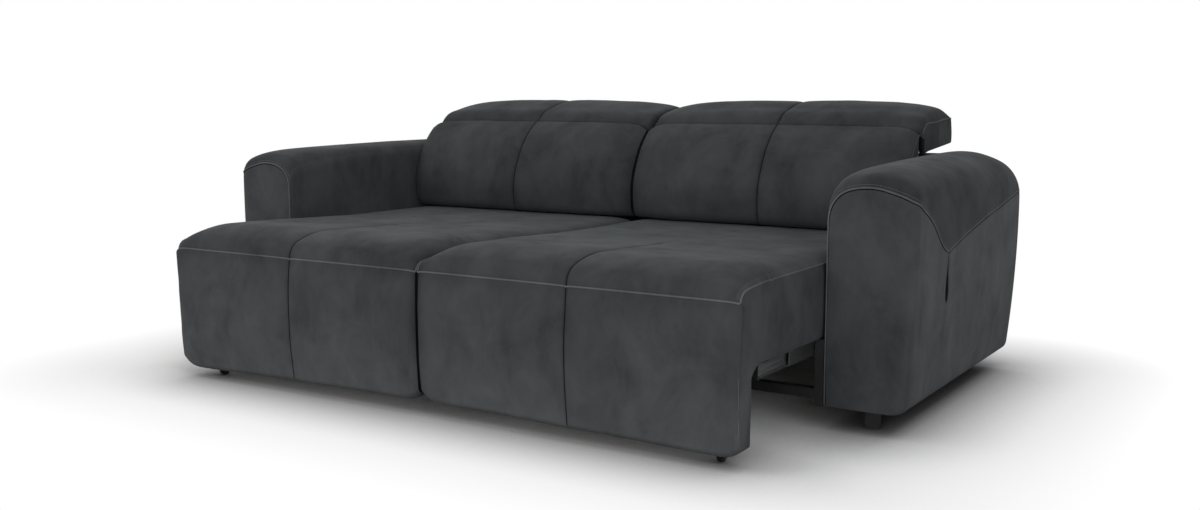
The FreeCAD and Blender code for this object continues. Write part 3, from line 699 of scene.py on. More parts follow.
def make_headrest(side_name, side):
    """A headrest's cover, slotted for its hinges, with its seams and the painted-shade fold strip beside its
    outer end.
    """
    body = side_name + "_headrest"
    x0, x1 = span_x("right_headrest_pad")
    middle = 0.5 * (x0 + x1)
    crowns = {x: headrest_lines(x, x0, x1)[0] for x in (x0, middle, x1)}
    stations = [headrest_lines(x, x0, x1) for x in spread_x(x0, x1)]
    pad = padded_block(side_name + "_headrest_cover", stations, (2.0, 2.0), side)
    refined(pad)
    seams = [p for crown in crowns.values() for p in crown[::2]]
    creased(pad, seams, side, -2.0, 1.2, 50.0)
    slot = rectangle(HINGE_Y - 70.0, HINGE_Y + 42.0, HINGE_Z - 60.0, HINGE_Z + 32.0)
    for x in HINGES_X:
        cut_away(pad, slot, x - SLOT_HALF, x + SLOT_HALF, side)
    dress(pad, "velvet", body, side_name + "_headrest_pad")
    paint_light_and_shade(pad, side, pad_light_and_shade(x0, x1, -0.28))
    radius = welt_thickness()
    # painted shade: a dark line down the middle seam of the headrest
    sunk_seam_shade(side_name + "_headrest_middle_seam", pad, crowns[middle][2:], radius * 0.6, body, side)
    for end, x in (("inner", x0), ("outer", x1)):
        make_welt(side_name + "_headrest_" + end + "_welt", [crowns[x]], radius * 0.8, body, side)
    make_end_fold_shade(side_name + "_headrest_end_fold", x1 + 3.5, x1 + 6.5, side)


def make_end_fold_shade(name, x_near, x_far, side):
    """A strip beside the headrest's outer end, which closes the view under it; it is coloured near black as
    painted shade.
    """
    angles = np.linspace(165.0, 213.0, 14)
    outline = [polar(a, 100.0) for a in angles] + [polar(a, 58.0) for a in angles[::-1]]
    last = len(outline) - 1
    quads = [(i, i + 1, last - 1 - i, last - i) for i in range(len(angles) - 1)]
    fold = drawn_out(name, outline, x_near, x_far, side, quads)
    dress(fold, "shade_velvet", "base")


# Arms

# height of the ridge at places behind the arm's front
ARM_RIDGE = ((0.0, 635.0), (2.0, 643.0), (6.0, 652.0), (12.0, 659.0), (22.0, 666.0), (38.0, 672.0),
             (60.0, 676.0), (92.0, 679.5), (130.0, 682.0), (220.0, 685.0), (345.0, 688.0), (600.0, 692.5),
             (890.0, 694.0), (960.0, 690.5), (990.0, 686.0), (1000.0, 680.0))
# how full the arm's rounds are there, from the tight front to the soft rear
ARM_FULLNESS = ((0.0, 0.0), (20.0, 0.05), (60.0, 0.15), (130.0, 0.3), (345.0, 0.6), (890.0, 0.95),
                (960.0, 1.0))
ARM_UNDER = 62.0
# how far the outer side draws in below
ARM_TUCK = 22.0
# the front welt follows the rim up to here, and then the line over the corner
RIM_END = 1138.0
# the upright slit in the outer side as (y, z) points, and the y of its foot, where a crease runs down
SLIT = [(745.0, 316.0), (757.0, 330.0), (760.0, 348.0), (756.0, 378.0), (750.0, 410.0), (744.0, 440.0),
        (740.0, 454.0), (737.0, 454.0), (735.0, 440.0), (733.0, 410.0), (731.0, 378.0), (731.0, 348.0),
        (735.0, 330.0)]
SLIT_Y = 741.0
# the lines of the seams that meet above the slit
WELT_OVER_CORNER = [
    (1152.0, 475.0, 621.0), (1168.0, 476.0, 615.0), (1183.0, 479.0, 607.5), (1193.0, 490.0, 599.0),
    (1200.0, 511.0, 585.0), (1200.0, 548.0, 571.0), (1200.0, 580.0, 555.0), (1200.0, 604.0, 540.0),
    (1200.0, 626.0, 523.0), (1200.0, 647.0, 506.0), (1200.0, 667.0, 490.0), (1200.0, 690.0, 475.0),
    (1200.0, 711.0, 465.0), (1200.0, 738.0, 457.0)]
SIDE_SEAM = [(1200.0, 738.0, 457.0), (1200.0, 765.0, 463.0), (1200.0, 889.0, 489.0), (1200.0, 1096.0, 522.0),
             (1200.0, 1265.0, 543.0), (1200.0, 1431.0, 568.0), (1200.0, 1474.0, 574.0)]


def read_at(pairs, t):
    """The value at t from (place, value) pairs."""
    return float(np.interp(t, *zip(*pairs)))


def rounded(x, z, reach, rise):
    """Middle and end of an arc that leaves (x, z) straight up and ends reach to the side and rise higher."""
    radius = (reach * reach + rise * rise) / (2.0 * abs(reach))
    turn = 0.5 * math.atan2(rise, radius - abs(reach))
    middle = (x + math.copysign(radius - radius * math.cos(turn), reach), z + radius * math.sin(turn))
    return middle, (x + reach, z + rise)


def arm_lines(y):
    """Border lines of an arm across its width: inner side, outer side, underside and ridge."""
    t = y - ARM_FRONT
    ridge = read_at(ARM_RIDGE, t)
    full = read_at(ARM_FULLNESS, t)
    inset = 5.0 * math.exp(-t / 9.0) + 2.0 * math.exp(-(ARM_LENGTH - t) / 6.0)
    corner = sizes().arm_corner * PER_M
    turn = corner - math.sqrt(max(corner ** 2 - max(corner - t, 0.0) ** 2, 0.0))
    inner = arm_inner + inset
    outer = arm_inner + ARM_WIDTH - max(turn, 0.2 * inset)
    low = ARM_UNDER + UNDER_GAP
    rise_in = 72.0 - 42.0 * full
    start_z = ridge - 9.0 + 4.0 * full - rise_in
    corner_in, top_in = rounded(inner, start_z, 46.0 - 16.0 * full, rise_in)
    rise_out = 44.0 + 58.0 * full
    end_z = ridge - 15.0 - 3.0 * full - rise_out
    corner_out, top_out = rounded(outer, end_z, -34.0 - 42.0 * full, rise_out)
    top = trace(top_in, ("arc", (inner + 112.0 - 20.0 * full, ridge), top_out, 30))
    left = trace((inner, low), ("line", (inner, start_z), 60), ("arc", corner_in, top_in, 30))
    foot = outer - ARM_TUCK
    right = trace((foot - 18.0, low), ("arc", (foot - 5.0, low + 7.0), (foot, low + 24.0), 12),
                  ("arc", (outer - 4.4, 0.5 * (end_z + low)), (outer, end_z), 50),
                  ("arc", corner_out, top_out, 30))
    left = resample(softened(np.concatenate([left, top[1:11]]), 14), 54)
    right = resample(softened(np.concatenate([right, top[-2:19:-1]]), 14), 54)
    middle = resample(np.concatenate([[left[-1]], top[11:20], [right[-1]]]), 12)
    under = trace(left[0], ("line", right[0], 12))
    return tuple(np.column_stack([p[:, 0], np.full(len(p), y), p[:, 1]])
                 for p in (left, right, under, middle))


def welted(end, point):
    """Whether the arm's end outline is sewn here: not down the outer corner nor along the bottom in front."""
    return end > 0 or (point[0] < arm_inner + 190.0 and point[2] > 90.0)


def make_arm(side_name, side):
    """An arm's cover with its seams and the slit in its outer side."""
    from_front = np.array([0.0, 1.5, 4.0, 7.0, 11.0, 16.0, 22.0, 29.0, 37.0, 46.0, 58.0, 74.0, 94.0, 118.0])
    from_rear = np.array([30.0, 14.0, 6.0, 2.5, 0.0])
    ys = np.concatenate([ARM_FRONT + from_front, np.linspace(ARM_FRONT + 145.0, ARM_FRONT + 945.0, 40),
                         ARM_FRONT + ARM_LENGTH - from_rear])
    stations = [arm_lines(y) for y in ys]
    arm = padded_block(side_name + "_arm_cover", stations, (17.0, 3.0), side, welted, 0.62)
    refined(arm)
    dress(arm, "velvet", "base", side_name + "_arm_pad", side_name + "_arm_front")
    make_arm_seams(arm, side_name, side)
    slit_x = arm_inner + ARM_WIDTH
    cut_away(arm, SLIT, slit_x - 18.0, slit_x + 5.0, side)
    paint_light_and_shade(arm, side, arm_light_and_shade)
    # painted shade: a dark sheet just inside the slit
    slit_shade = drawn_out(side_name + "_arm_slit_lining", SLIT, slit_x - 14.0, slit_x - 5.0, side)
    dress(slit_shade, "shade_velvet", "base")


def arm_light_and_shade(x, y, z):
    """Painted light and shade on the arm: the top strip darker than the front and the sides as painted shade;
    the outer side, the inner side and the turn of the front corner lighter as painted light; painted shade
    along a soft crease below the slit and beside the slit.
    """
    seam_y = np.array([p[1] for p in WELT_OVER_CORNER + SIDE_SEAM])
    seam_z = np.array([p[2] for p in WELT_OVER_CORNER + SIDE_SEAM])
    above = z - np.interp(y, seam_y, seam_z, left=620.0)
    outside = 1.0 / (1.0 + np.exp(-(x - arm_inner - 0.45 * ARM_WIDTH) / 16.0))
    ridge = 0.2 * np.clip((z - 560.0) / 60.0, 0.0, 1.0)
    top = (ridge + (1.0 / (1.0 + np.exp(-above / 3.0)) - ridge) * outside) * (y > ARM_FRONT + 1.5)
    past = np.maximum(y - ARM_FRONT, 0.0)
    side_face = outside * (1.0 - np.exp(-past / 60.0))
    slit_foot = 330.0
    crease = (np.exp(-((y - SLIT_Y) / 16.0) ** 2) * np.clip((slit_foot - z) / 30.0, 0.0, 1.0)
              * np.clip(z / slit_foot, 0.0, 1.0))
    beside_slit = np.exp(-((y - SLIT_Y) / 22.0) ** 2) * (np.abs(z - 385.0) < 70.0)
    to_side = np.minimum(x - arm_inner - ARM_WIDTH, 0.0)
    turned = 0.10 * (past < 30.0) * np.exp(to_side / 40.0) * np.exp(-past / 30.0)
    inner = 0.22 * (x < arm_inner + 8.0) * (past > 4.0)
    return (-0.44 * top + inner + turned + 0.40 * side_face * (1.0 - top) - 0.30 * crease * side_face
            - 0.20 * beside_slit * side_face)


def arm_outline():
    """The line of the front welt: up the inner edge, over the top, round the corner and down the side."""
    left, _, _, top = arm_lines(ARM_FRONT + 0.5)
    rim = np.concatenate([left, top[1:]])
    rim = rim[rim[:, 0] < RIM_END]
    whole = resample(np.concatenate([rim, WELT_OVER_CORNER]), 500)
    return resample(softened(whole, 40), 300)


def beside(tree, points, side, distance):
    """A line on the surface that runs next to another one on it."""
    points = np.asarray(points)
    ways = np.gradient(points, axis=0)
    moved = []
    for point, way in zip(points, ways):
        _, normal, _, _ = tree.find_nearest(Vector(to_frame(point, side)))
        out = np.array((normal.x * side, normal.y, normal.z))
        across = np.cross(way, out)
        moved.append(point + across / np.linalg.norm(across) * distance)
    return settled(tree, softened(np.array(moved), 12), side)


def settled(tree, points, side, lift=0.0):
    """Millimetre points moved to the nearest spot on a surface."""
    out = []
    for point in to_frame(points, side):
        spot, normal, _, _ = tree.find_nearest(Vector(point))
        spot = np.array(spot + normal * (lift * MM))
        spot[1] -= front_seam_y
        spot[0] *= side
        out.append(spot * PER_M)
    return np.array(out)


def make_arm_seams(arm, side_name, side):
    """The welt round the front panel with its topstitch, and the double seam up the outer side."""
    tree = surface_of(arm)
    radius = welt_thickness()
    welt = settled(tree, arm_outline(), side)
    make_welt(side_name + "_arm_front_welt", [welt], radius * 1.05, "base", side)
    # painted shade: a dark cord beside the front welt
    fold = beside(tree, welt[:-3], side, 3.4)
    make_welt(side_name + "_arm_front_fold", [fold], radius * 0.5, "base", side, "shade_velvet")
    stitches = dashes(beside(tree, welt[:-6], side, -9.0), 5.0, 2.0)
    make_welt(side_name + "_arm_front_topstitch", stitches, radius * 0.42, "base", side)
    seam = resample(np.array(SIDE_SEAM), 120)
    seam = settled(tree, softened(seam, 6), side)
    make_welt(side_name + "_arm_side_seam", [seam], radius * 0.85, "base", side)
    # painted shade: a dark cord beside the side seam
    fold = beside(tree, seam, side, 3.4)
    make_welt(side_name + "_arm_side_fold", [fold], radius * 0.6, "base", side, "shade_velvet")
    stitches = dashes(beside(tree, seam[3:], side, 9.0), 5.0, 2.0)
    make_welt(side_name + "_arm_side_topstitch", stitches, radius * 0.42, "base", side)


def dashes(points, long, gap):
    """Short stitches along a line."""
    points = np.asarray(points)
    run = run_along(points)
    out = []
    start = 0.0
    while start + long < run[-1]:
        out.append(picked(points, run, start + np.linspace(0.0, long, 4)))
        start += long + gap
    return out


# The back

EDGE_RADIUS = 5.0


def make_back_panels():
    """The covered top board and the rear panel, whose padding swells a little to the rear."""
    for node, swell in (("back_top", 0.0), ("back_cover", 4.0)):
        lo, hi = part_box(node)
        x0, x1 = span_x(node)
        y0, y1 = (lo.y - front_seam_y) * PER_M, (hi.y - front_seam_y) * PER_M
        z0, z1 = lo.z * PER_M, hi.z * PER_M
        near = np.array([0.0, 1.0, 3.0, 6.0, 12.0, 22.0, 40.0])
        xs = np.concatenate([x0 + near, np.linspace(x0 + 70.0, x1 - 70.0, 40), x1 - near[::-1]])
        stations = []
        for x in xs:
            s = min(x - x0, x1 - x)
            turned = 1.0 - min(s / EDGE_RADIUS, 1.0)
            r = EDGE_RADIUS - EDGE_RADIUS * math.sqrt(max(1.0 - turned ** 2, 0.0))
            ya, yb, za, zb = y0 + r * 0.5, y1 - r, z0 + r, z1 - r * 0.5
            steps = max(6, int((zb - za) / 20.0))
            front = trace((ya, za), ("line", (ya, zb), steps))
            rear = trace((yb, za), ("line", (yb, zb), steps))
            up = np.sin(math.pi * np.linspace(0.0, 1.0, steps + 1))
            rear[:, 0] += swell * (1.0 - math.exp(-s / 40.0)) * up ** 0.4
            bottom = trace((ya, za), ("line", (yb, za), 8))
            top = trace((ya, zb), ("line", (yb, zb), 8))
            stations.append(tuple(in_side_view(x, p) for p in (front, rear, bottom, top)))
        panel = padded_block(node + "_covered", stations, (0.0, 0.0))
        dress(panel, "velvet", "base", node)


# Finishes

class Value:
    """One output of a node. Arithmetic on it adds Math nodes."""

    def __init__(self, shader, socket):
        self.shader = shader
        self.socket = socket

    def math(self, operation, a, b):
        return self.shader.node("ShaderNodeMath", {"operation": operation}, {0: a, 1: b})

    def __add__(self, other):
        return self.math("ADD", self, other)

    __radd__ = __add__

    def __mul__(self, other):
        return self.math("MULTIPLY", self, other)

    __rmul__ = __mul__

    def __sub__(self, other):
        return self.math("SUBTRACT", self, other)

    def __rsub__(self, other):
        return self.math("SUBTRACT", other, self)

    def __pow__(self, other):
        return self.math("POWER", self, other)


class Nodes:
    """A node tree under construction."""

    def __init__(self, tree):
        self.tree = tree
        self.tree.nodes.clear()

    def node(self, kind, settings=None, inputs=None, output=0):
        """Adds a node: settings first, then values or links for its sockets."""
        made = self.tree.nodes.new(kind)
        for key, value in (settings or {}).items():
            setattr(made, key, value)
        for key, value in (inputs or {}).items():
            socket = made.inputs[key]
            if isinstance(value, Value):
                self.tree.links.new(value.socket, socket)
            elif hasattr(value, "__len__") and len(value) == 3 and len(socket.default_value) == 4:
                socket.default_value = (*value, 1.0)
            else:
                socket.default_value = value
        return Value(self, made.outputs[output]) if len(made.outputs) else None

    def place(self, scale=(1.0, 1.0, 1.0)):
        """Position on the object, in metres, stretched by scale."""
        where = self.node("ShaderNodeTexCoord", output="Object")
        return self.node("ShaderNodeVectorMath", {"operation": "MULTIPLY"}, {0: where, 1: scale})

    def noise(self, where, scale, detail=2.0, roughness=0.5, distortion=0.0):
        return self.node("ShaderNodeTexNoise", {"noise_dimensions": "3D"},
                         {"Vector": where, "Scale": scale, "Detail": detail, "Roughness": roughness,
                          "Distortion": distortion}, "Fac")

    def spread(self, value, low, high, out_low=0.0, out_high=1.0):
        return self.node("ShaderNodeMapRange", {"clamp": True},
                         {0: value, 1: low, 2: high, 3: out_low, 4: out_high})

    def mix(self, factor, a, b):
        return self.node("ShaderNodeMix", {"data_type": "RGBA"}, {0: factor, 6: a, 7: b}, 2)


class Finish(Nodes):
    """A node material under construction."""
    SOCKETS = {"colour": "Base Color", "roughness": "Roughness", "metallic": "Metallic",
               "sheen": "Sheen Weight", "sheen_roughness": "Sheen Roughness", "sheen_tint": "Sheen Tint",
               "specular": "Specular IOR Level"}

    def __init__(self, name):
        self.material = bpy.data.materials.new(name)
        self.material.use_nodes = True
        super().__init__(self.material.node_tree)

    def surface(self, bump, depth, strength, **sockets):
        """The shader itself, with its height fed through a Bump node."""
        inputs = {self.SOCKETS[key]: value for key, value in sockets.items()}
        inputs["Normal"] = self.node("ShaderNodeBump", None,
                                     {"Height": bump, "Distance": depth, "Strength": strength})
        shader = self.node("ShaderNodeBsdfPrincipled", None, inputs)
        self.node("ShaderNodeOutputMaterial", None, {"Surface": shader})
        return self.material


finishes = {}


def velvet(name, colour, lighter, gloss=1.0):
    """Short dense pile: patches of pile laid different ways, faint upright strokes, fine nap and a soft
    sheen; its colour is also scaled by the painted light and shade in the pile attribute.
    """
    f = Finish(name)
    colour = np.array(colour)
    patches = f.noise(f.place((1.0, 1.0, 0.75)), 7.5, 4.0, 0.62, 0.35)
    strokes = f.noise(f.place((26.0, 26.0, 7.0)), 1.0, 3.0, 0.6, 0.6)
    nap = f.noise(f.place(), 900.0, 2.0, 0.6)
    cloud = f.spread(patches, 0.30, 0.70)
    brush = f.spread(strokes, 0.30, 0.72)
    tone = f.mix(cloud, tuple(colour * 0.55), tuple(colour * 1.45))
    tone = f.mix(brush * 0.45, tone, tuple(colour * 1.25))
    tone = f.mix(f.spread(nap, 0.35, 0.65) * 0.25, tone, tuple(colour * 1.5 + lighter))
    # painted light and shade: the pile attribute written on each cover scales the colour
    light_and_shade = f.node("ShaderNodeAttribute", {"attribute_type": "GEOMETRY", "attribute_name": "pile"},
                 output="Fac")
    tone = f.node("ShaderNodeVectorMath", {"operation": "SCALE"}, {0: tone, 3: light_and_shade + 1.0})
    height = nap * 0.7 + f.noise(f.place(), 160.0, 2.0, 0.6) * 0.6
    return f.surface(height, 0.0006, 0.5, colour=tone, roughness=f.spread(patches, 0.3, 0.7, 0.86, 0.70),
                     sheen=0.06 * gloss, sheen_roughness=0.45, sheen_tint=(0.62, 0.68, 0.70),
                     specular=0.12 * gloss)


def timber(name, colour):
    """Raw wood: grain along the boards and fine open pores."""
    f = Finish(name)
    colour = np.array(colour)
    grain = f.noise(f.place((1.0, 26.0, 26.0)), 3.0, 4.0, 0.6, 1.2)
    pores = f.noise(f.place((6.0, 260.0, 260.0)), 3.0, 2.0, 0.6)
    tone = f.mix(f.spread(grain, 0.35, 0.68), tuple(colour * 0.72), tuple(colour * 1.12))
    tone = f.mix(f.spread(pores, 0.55, 0.75) * 0.5, tone, tuple(colour * 0.55))
    rough = f.spread(grain, 0.3, 0.7, 0.55, 0.75)
    return f.surface(pores + grain, 0.0006, 0.4, colour=tone, roughness=rough, specular=0.3)


def woven_band(name, colour):
    """Elastic band woven crosswise."""
    f = Finish(name)
    colour = np.array(colour)
    across = f.node("ShaderNodeTexWave", {"wave_type": "BANDS", "bands_direction": "X"},
                    {"Vector": f.place(), "Scale": 90.0, "Distortion": 0.6})
    along = f.node("ShaderNodeTexWave", {"wave_type": "BANDS", "bands_direction": "Y"},
                   {"Vector": f.place(), "Scale": 90.0, "Distortion": 0.6})
    weave = across * along
    tone = f.mix(weave, tuple(colour * 0.6), tuple(colour * 1.6))
    return f.surface(weave, 0.0006, 0.7, colour=tone, roughness=0.8, specular=0.25)


def painted(name, colour, rough, gloss=0.3):
    """Coated board or steel: fine orange peel, dust in patches."""
    f = Finish(name)
    colour = np.array(colour)
    dust = f.noise(f.place(), 9.0, 4.0, 0.6)
    peel = f.noise(f.place(), 420.0, 2.0, 0.5)
    tone = f.mix(f.spread(dust, 0.45, 0.75) * 0.5, tuple(colour), tuple(colour * 1.8 + 0.004))
    return f.surface(peel, 0.0003, 0.35, colour=tone, specular=gloss,
                     roughness=f.spread(dust, 0.3, 0.7, rough - 0.06, rough + 0.10))


def zinc(name, colour):
    """Plated steel: faint spangle, drawn along its length."""
    f = Finish(name)
    colour = np.array(colour)
    spangle = f.node("ShaderNodeTexVoronoi", {"feature": "F1"},
                     {"Vector": f.place(), "Scale": 160.0}, "Distance")
    drawn = f.noise(f.place((300.0, 4.0, 300.0)), 1.0, 2.0, 0.6)
    tone = f.mix(f.spread(spangle, 0.0, 0.9), tuple(colour * 0.8), tuple(colour * 1.1))
    return f.surface(drawn, 0.0002, 0.3, colour=tone, metallic=1.0,
                     roughness=f.spread(drawn, 0.3, 0.7, 0.28, 0.46))


def moulded(name, colour, rough):
    """Moulded plastic: fine grain and light scuffs."""
    f = Finish(name)
    colour = np.array(colour)
    grain = f.noise(f.place(), 650.0, 2.0, 0.55)
    scuffs = f.noise(f.place((30.0, 30.0, 90.0)), 1.0, 4.0, 0.65, 0.5)
    tone = f.mix(f.spread(scuffs, 0.55, 0.75) * 0.6, tuple(colour), tuple(colour * 2.2 + 0.006))
    return f.surface(grain, 0.0003, 0.4, colour=tone, specular=0.4,
                     roughness=f.spread(scuffs, 0.4, 0.75, rough, rough + 0.18))


def make_finishes():
    """One finish for each material of the record, and two more: a lighter copy of the velvet as painted
    highlight on the raised seams, and a near black one as painted shade in folds, seam lines, gaps and the
    slit.
    """
    tones = colours()
    finishes["velvet"] = velvet("velvet", tones.velvet, 0.004)
    # painted highlight: the velvet made lighter for the raised seams, for the light their ridges catch
    finishes["seam_highlight_velvet"] = velvet("seam_highlight_velvet", np.array(tones.velvet) * tones.seam_highlight, 0.01)
    # painted shade: the velvet made near black and without sheen, for the dark lines and strips where shade
    # falls
    finishes["shade_velvet"] = velvet("shade_velvet", np.array(tones.velvet) * 0.12, 0.0, 0.1)
    finishes["plywood"] = timber("plywood", tones.plywood)
    finishes["timber"] = timber("timber", tones.timber)
    finishes["webbing"] = woven_band("webbing", tones.webbing)
    finishes["black_board"] = painted("black_board", tones.black, 0.55)
    finishes["black_steel"] = painted("black_steel", tones.black, 0.42, 0.5)
    finishes["zinc_steel"] = zinc("zinc_steel", tones.zinc)
    finishes["nylon"] = moulded("nylon", (0.05, 0.05, 0.05), 0.4)
    finishes["wheel_black"] = moulded("wheel_black", tones.black, 0.25)
    finishes["foot_black"] = moulded("foot_black", tones.black, 0.42)


# Settings that a user would change

class SofaSizes(bpy.types.PropertyGroup):
    welt_radius: bpy.props.FloatProperty(
        name="Welt radius", description="Half the thickness of the raised seams",
        default=0.0024, min=0.0005, unit="LENGTH")
    arm_corner: bpy.props.FloatProperty(
        name="Arm corner", description="Radius of the outer front edge of an arm",
        default=0.022, min=0.01, unit="LENGTH")


class SofaColours(bpy.types.PropertyGroup):
    velvet: bpy.props.FloatVectorProperty(
        name="Velvet", description="Colour of the pile seen straight on",
        subtype="COLOR", default=(0.0395, 0.0425, 0.0445))
    # painted highlight: how much lighter than the velvet the raised seams are coloured
    seam_highlight: bpy.props.FloatProperty(
        name="Seam lift", description="How much lighter the raised seams are",
        default=2.0, subtype="FACTOR")
    timber: bpy.props.FloatVectorProperty(
        name="Timber", description="Rails of the seat and back frames",
        subtype="COLOR", default=(0.60, 0.45, 0.27))
    plywood: bpy.props.FloatVectorProperty(
        name="Plywood", description="Boards inside the upholstery",
        subtype="COLOR", default=(0.55, 0.40, 0.24))
    webbing: bpy.props.FloatVectorProperty(
        name="Webbing", description="Elastic bands under the pads",
        subtype="COLOR", default=(0.10, 0.10, 0.11))
    black: bpy.props.FloatVectorProperty(
        name="Black", description="Painted boards, bars, wheels and feet",
        subtype="COLOR", default=(0.013, 0.013, 0.014))
    zinc: bpy.props.FloatVectorProperty(
        name="Zinc", description="Plated slides and pins",
        subtype="COLOR", default=(0.27, 0.275, 0.28))


def sizes():
    return bpy.context.scene.sofa_sizes


def colours():
    return bpy.context.scene.sofa_colours


# Operators

# the camera worked out from the photograph: place in metres, angles in radians, lens in millimetres
CAMERA_PLACE = (2.1409, -3.2624, 0.8670)
CAMERA_DOWN = 0.1293
CAMERA_TURN = 0.5629
CAMERA_LENS = 36.93
SENSOR_WIDTH = 36.0
# name, place, aim, width in metres, watts and tint
LAMPS = (
    ("overhead", (-0.9, 0.3, 3.6), (0.0, 0.1, 0.3), 3.2, 22.0, (1.0, 1.0, 1.0)),
    ("front_low", (1.0, -5.2, 0.8), (0.0, 0.0, 0.35), 2.6, 70.0, (1.0, 0.99, 0.98)),
    ("front_left", (-2.6, -3.6, 2.2), (0.0, 0.0, 0.4), 2.4, 40.0, (1.0, 0.99, 0.97)),
    ("front_right", (3.4, -3.0, 2.0), (0.4, 0.0, 0.4), 2.2, 32.0, (0.97, 0.99, 1.0)))
WORLD_STRENGTH = 0.42
# the floor fades to white outside this half box, over this length
PLAIN_FLOOR = (1.12, 0.72, 0.0)
FADE_OVER = 0.55
# reach and strength of the shade where the sofa comes close to the floor
SHADE_REACH = 0.28
SHADE_POWER = 1.7


class SOFA_OT_stage(bpy.types.Operator):
    """Camera, floor, soft light and white surroundings"""
    bl_idname = "sofa.stage"
    bl_label = "Stage"

    def execute(self, context):
        camera_data = bpy.data.cameras.new("camera")
        camera = bpy.data.objects.new("camera", camera_data)
        context.scene.collection.objects.link(camera)
        camera.location = CAMERA_PLACE
        camera.rotation_euler = (math.pi / 2.0 - CAMERA_DOWN, 0.0, CAMERA_TURN)
        camera_data.sensor_width = SENSOR_WIDTH
        camera_data.lens = CAMERA_LENS
        camera_data.clip_end = 200.0
        context.scene.camera = camera
        context.scene.view_settings.view_transform = "Standard"
        make_floor(context)
        make_world(context)
        for name, place, aim, size, power, tint in LAMPS:
            lamp = bpy.data.lights.new(name, "AREA")
            lamp.shape = "SQUARE"
            lamp.size = size
            lamp.energy = power
            lamp.color = tint
            light = bpy.data.objects.new(name, lamp)
            context.scene.collection.objects.link(light)
            light.location = place
            light.rotation_euler = (Vector(aim) - Vector(place)).to_track_quat("-Z", "Y").to_euler()
        return {"FINISHED"}


def make_floor(context):
    """A pale floor that fades to white beyond the sofa and is shaded where the sofa comes close."""
    mesh = bpy.data.meshes.new("floor")
    far = 40.0
    corners = [(-far, -far, 0.0), (far, -far, 0.0), (far, far, 0.0), (-far, far, 0.0)]
    mesh.from_pydata(corners, [], [(0, 1, 2, 3)])
    floor = bpy.data.objects.new("floor", mesh)
    context.scene.collection.objects.link(floor)
    f = Finish("pale_floor")
    where = f.node("ShaderNodeTexCoord", output="Object")
    where = f.node("ShaderNodeVectorMath", {"operation": "ABSOLUTE"}, {0: where})
    where = f.node("ShaderNodeVectorMath", {"operation": "SUBTRACT"}, {0: where, 1: PLAIN_FLOOR})
    where = f.node("ShaderNodeVectorMath", {"operation": "MAXIMUM"}, {0: where, 1: (0.0, 0.0, 0.0)})
    away = f.node("ShaderNodeVectorMath", {"operation": "LENGTH"}, {0: where}, "Value")
    grain = f.noise(f.place(), 60.0, 2.0, 0.5)
    tone = f.mix(grain, (0.92, 0.92, 0.92), (0.95, 0.95, 0.95))
    # painted shade: the floor's colour darkens with ambient occlusion where the sofa comes close
    openness = f.node("ShaderNodeAmbientOcclusion", {"samples": 8}, {"Distance": SHADE_REACH}, "AO")
    tone = f.mix(openness ** SHADE_POWER, (0.02, 0.02, 0.02), tone)
    pale = f.node("ShaderNodeBsdfDiffuse", None, {"Color": tone, "Roughness": 0.6})
    white = f.node("ShaderNodeEmission", None, {"Color": (1.0, 1.0, 1.0, 1.0), "Strength": 1.0})
    fade = f.spread(away, 0.0, FADE_OVER)
    seen = f.node("ShaderNodeLightPath", output="Is Camera Ray")
    surface = f.node("ShaderNodeMixShader", None, {0: fade * seen, 1: pale, 2: white})
    f.node("ShaderNodeOutputMaterial", None, {"Surface": surface})
    mesh.materials.append(f.material)


def make_world(context):
    """White surroundings: bright to the camera and in reflections, soft as light."""
    world = bpy.data.worlds.new("surroundings")
    context.scene.world = world
    world.use_nodes = True
    f = Nodes(world.node_tree)
    path = f.tree.nodes.new("ShaderNodeLightPath")
    camera, glossy, through = (Value(f, path.outputs["Is %s Ray" % kind])
                               for kind in ("Camera", "Glossy", "Transmission"))
    seen = f.node("ShaderNodeMath", {"operation": "MAXIMUM"}, {0: camera, 1: glossy})
    seen = f.node("ShaderNodeMath", {"operation": "MAXIMUM"}, {0: seen, 1: through})
    strength = f.spread(seen, 0.0, 1.0, WORLD_STRENGTH, 1.0)
    shade = f.node("ShaderNodeBackground", None, {"Color": (1.0, 1.0, 1.0, 1.0), "Strength": strength})
    f.node("ShaderNodeOutputWorld", None, {"Surface": shade})


class SOFA_OT_finishes(bpy.types.Operator):
    """Makes the finishes and gives them to the frame's own pieces"""
    bl_idname = "sofa.finishes"
    bl_label = "Finishes"

    def execute(self, context):
        make_finishes()
        for part in frame["record"]["subparts"]:
            node = frame["nodes"][part["node"]]
            node.data.materials.clear()
            node.data.materials.append(finishes[part["material_slot"]])
        return {"FINISHED"}


class SOFA_OT_seats(bpy.types.Operator):
    """Covers of the two pull-out seats with their welts"""
    bl_idname = "sofa.seats"
    bl_label = "Seats"

    def execute(self, context):
        for name, side in SIDES:
            make_seat(name, side)
        return {"FINISHED"}


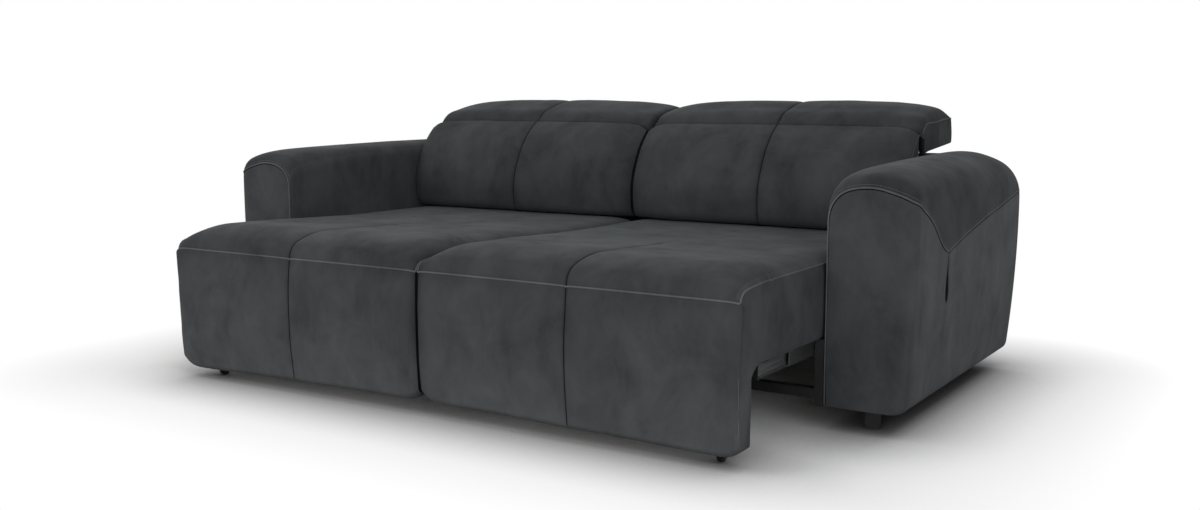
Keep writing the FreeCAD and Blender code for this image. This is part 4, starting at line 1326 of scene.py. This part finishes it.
class SOFA_OT_back_cushions(bpy.types.Operator):
    """Covers of the back cushions"""
    bl_idname = "sofa.back_cushions"
    bl_label = "Back cushions"

    def execute(self, context):
        for name, side in SIDES:
            make_back_cushion(name, side)
        return {"FINISHED"}


class SOFA_OT_headrests(bpy.types.Operator):
    """Covers of the folding headrests"""
    bl_idname = "sofa.headrests"
    bl_label = "Headrests"

    def execute(self, context):
        for name, side in SIDES:
            make_headrest(name, side)
        return {"FINISHED"}


class SOFA_OT_arms(bpy.types.Operator):
    """Covers of the arms with their seams"""
    bl_idname = "sofa.arms"
    bl_label = "Arms"

    def execute(self, context):
        for name, side in SIDES:
            make_arm(name, side)
        return {"FINISHED"}


class SOFA_OT_back(bpy.types.Operator):
    """Covered top board and rear panel"""
    bl_idname = "sofa.back"
    bl_label = "Back panels"

    def execute(self, context):
        make_back_panels()
        return {"FINISHED"}


class SOFA_PT_panel(bpy.types.Panel):
    bl_idname = "SOFA_PT_panel"
    bl_label = "Sofa"
    bl_space_type = "VIEW_3D"
    bl_region_type = "UI"
    bl_category = "Sofa"

    def draw(self, context):
        for operator in OPERATORS:
            self.layout.operator(operator.bl_idname)
        for group in (sizes(), colours()):
            for key in group.__annotations__:
                self.layout.prop(group, key)


OPERATORS = (SOFA_OT_finishes, SOFA_OT_stage, SOFA_OT_seats, SOFA_OT_back_cushions, SOFA_OT_headrests,
             SOFA_OT_arms, SOFA_OT_back)
CLASSES = (SofaSizes, SofaColours, *OPERATORS, SOFA_PT_panel)


def register():
    for item in CLASSES:
        bpy.utils.register_class(item)
    bpy.types.Scene.sofa_sizes = bpy.props.PointerProperty(type=SofaSizes)
    bpy.types.Scene.sofa_colours = bpy.props.PointerProperty(type=SofaColours)


def unregister():
    del bpy.types.Scene.sofa_sizes
    del bpy.types.Scene.sofa_colours
    for item in reversed(CLASSES):
        bpy.utils.unregister_class(item)


def main():
    register()
    bpy.ops.sofa.finishes()
    bpy.ops.sofa.stage()
    bpy.ops.sofa.seats()
    bpy.ops.sofa.back_cushions()
    bpy.ops.sofa.headrests()
    bpy.ops.sofa.arms()
    bpy.ops.sofa.back()


if __name__ == "__main__":
    main()
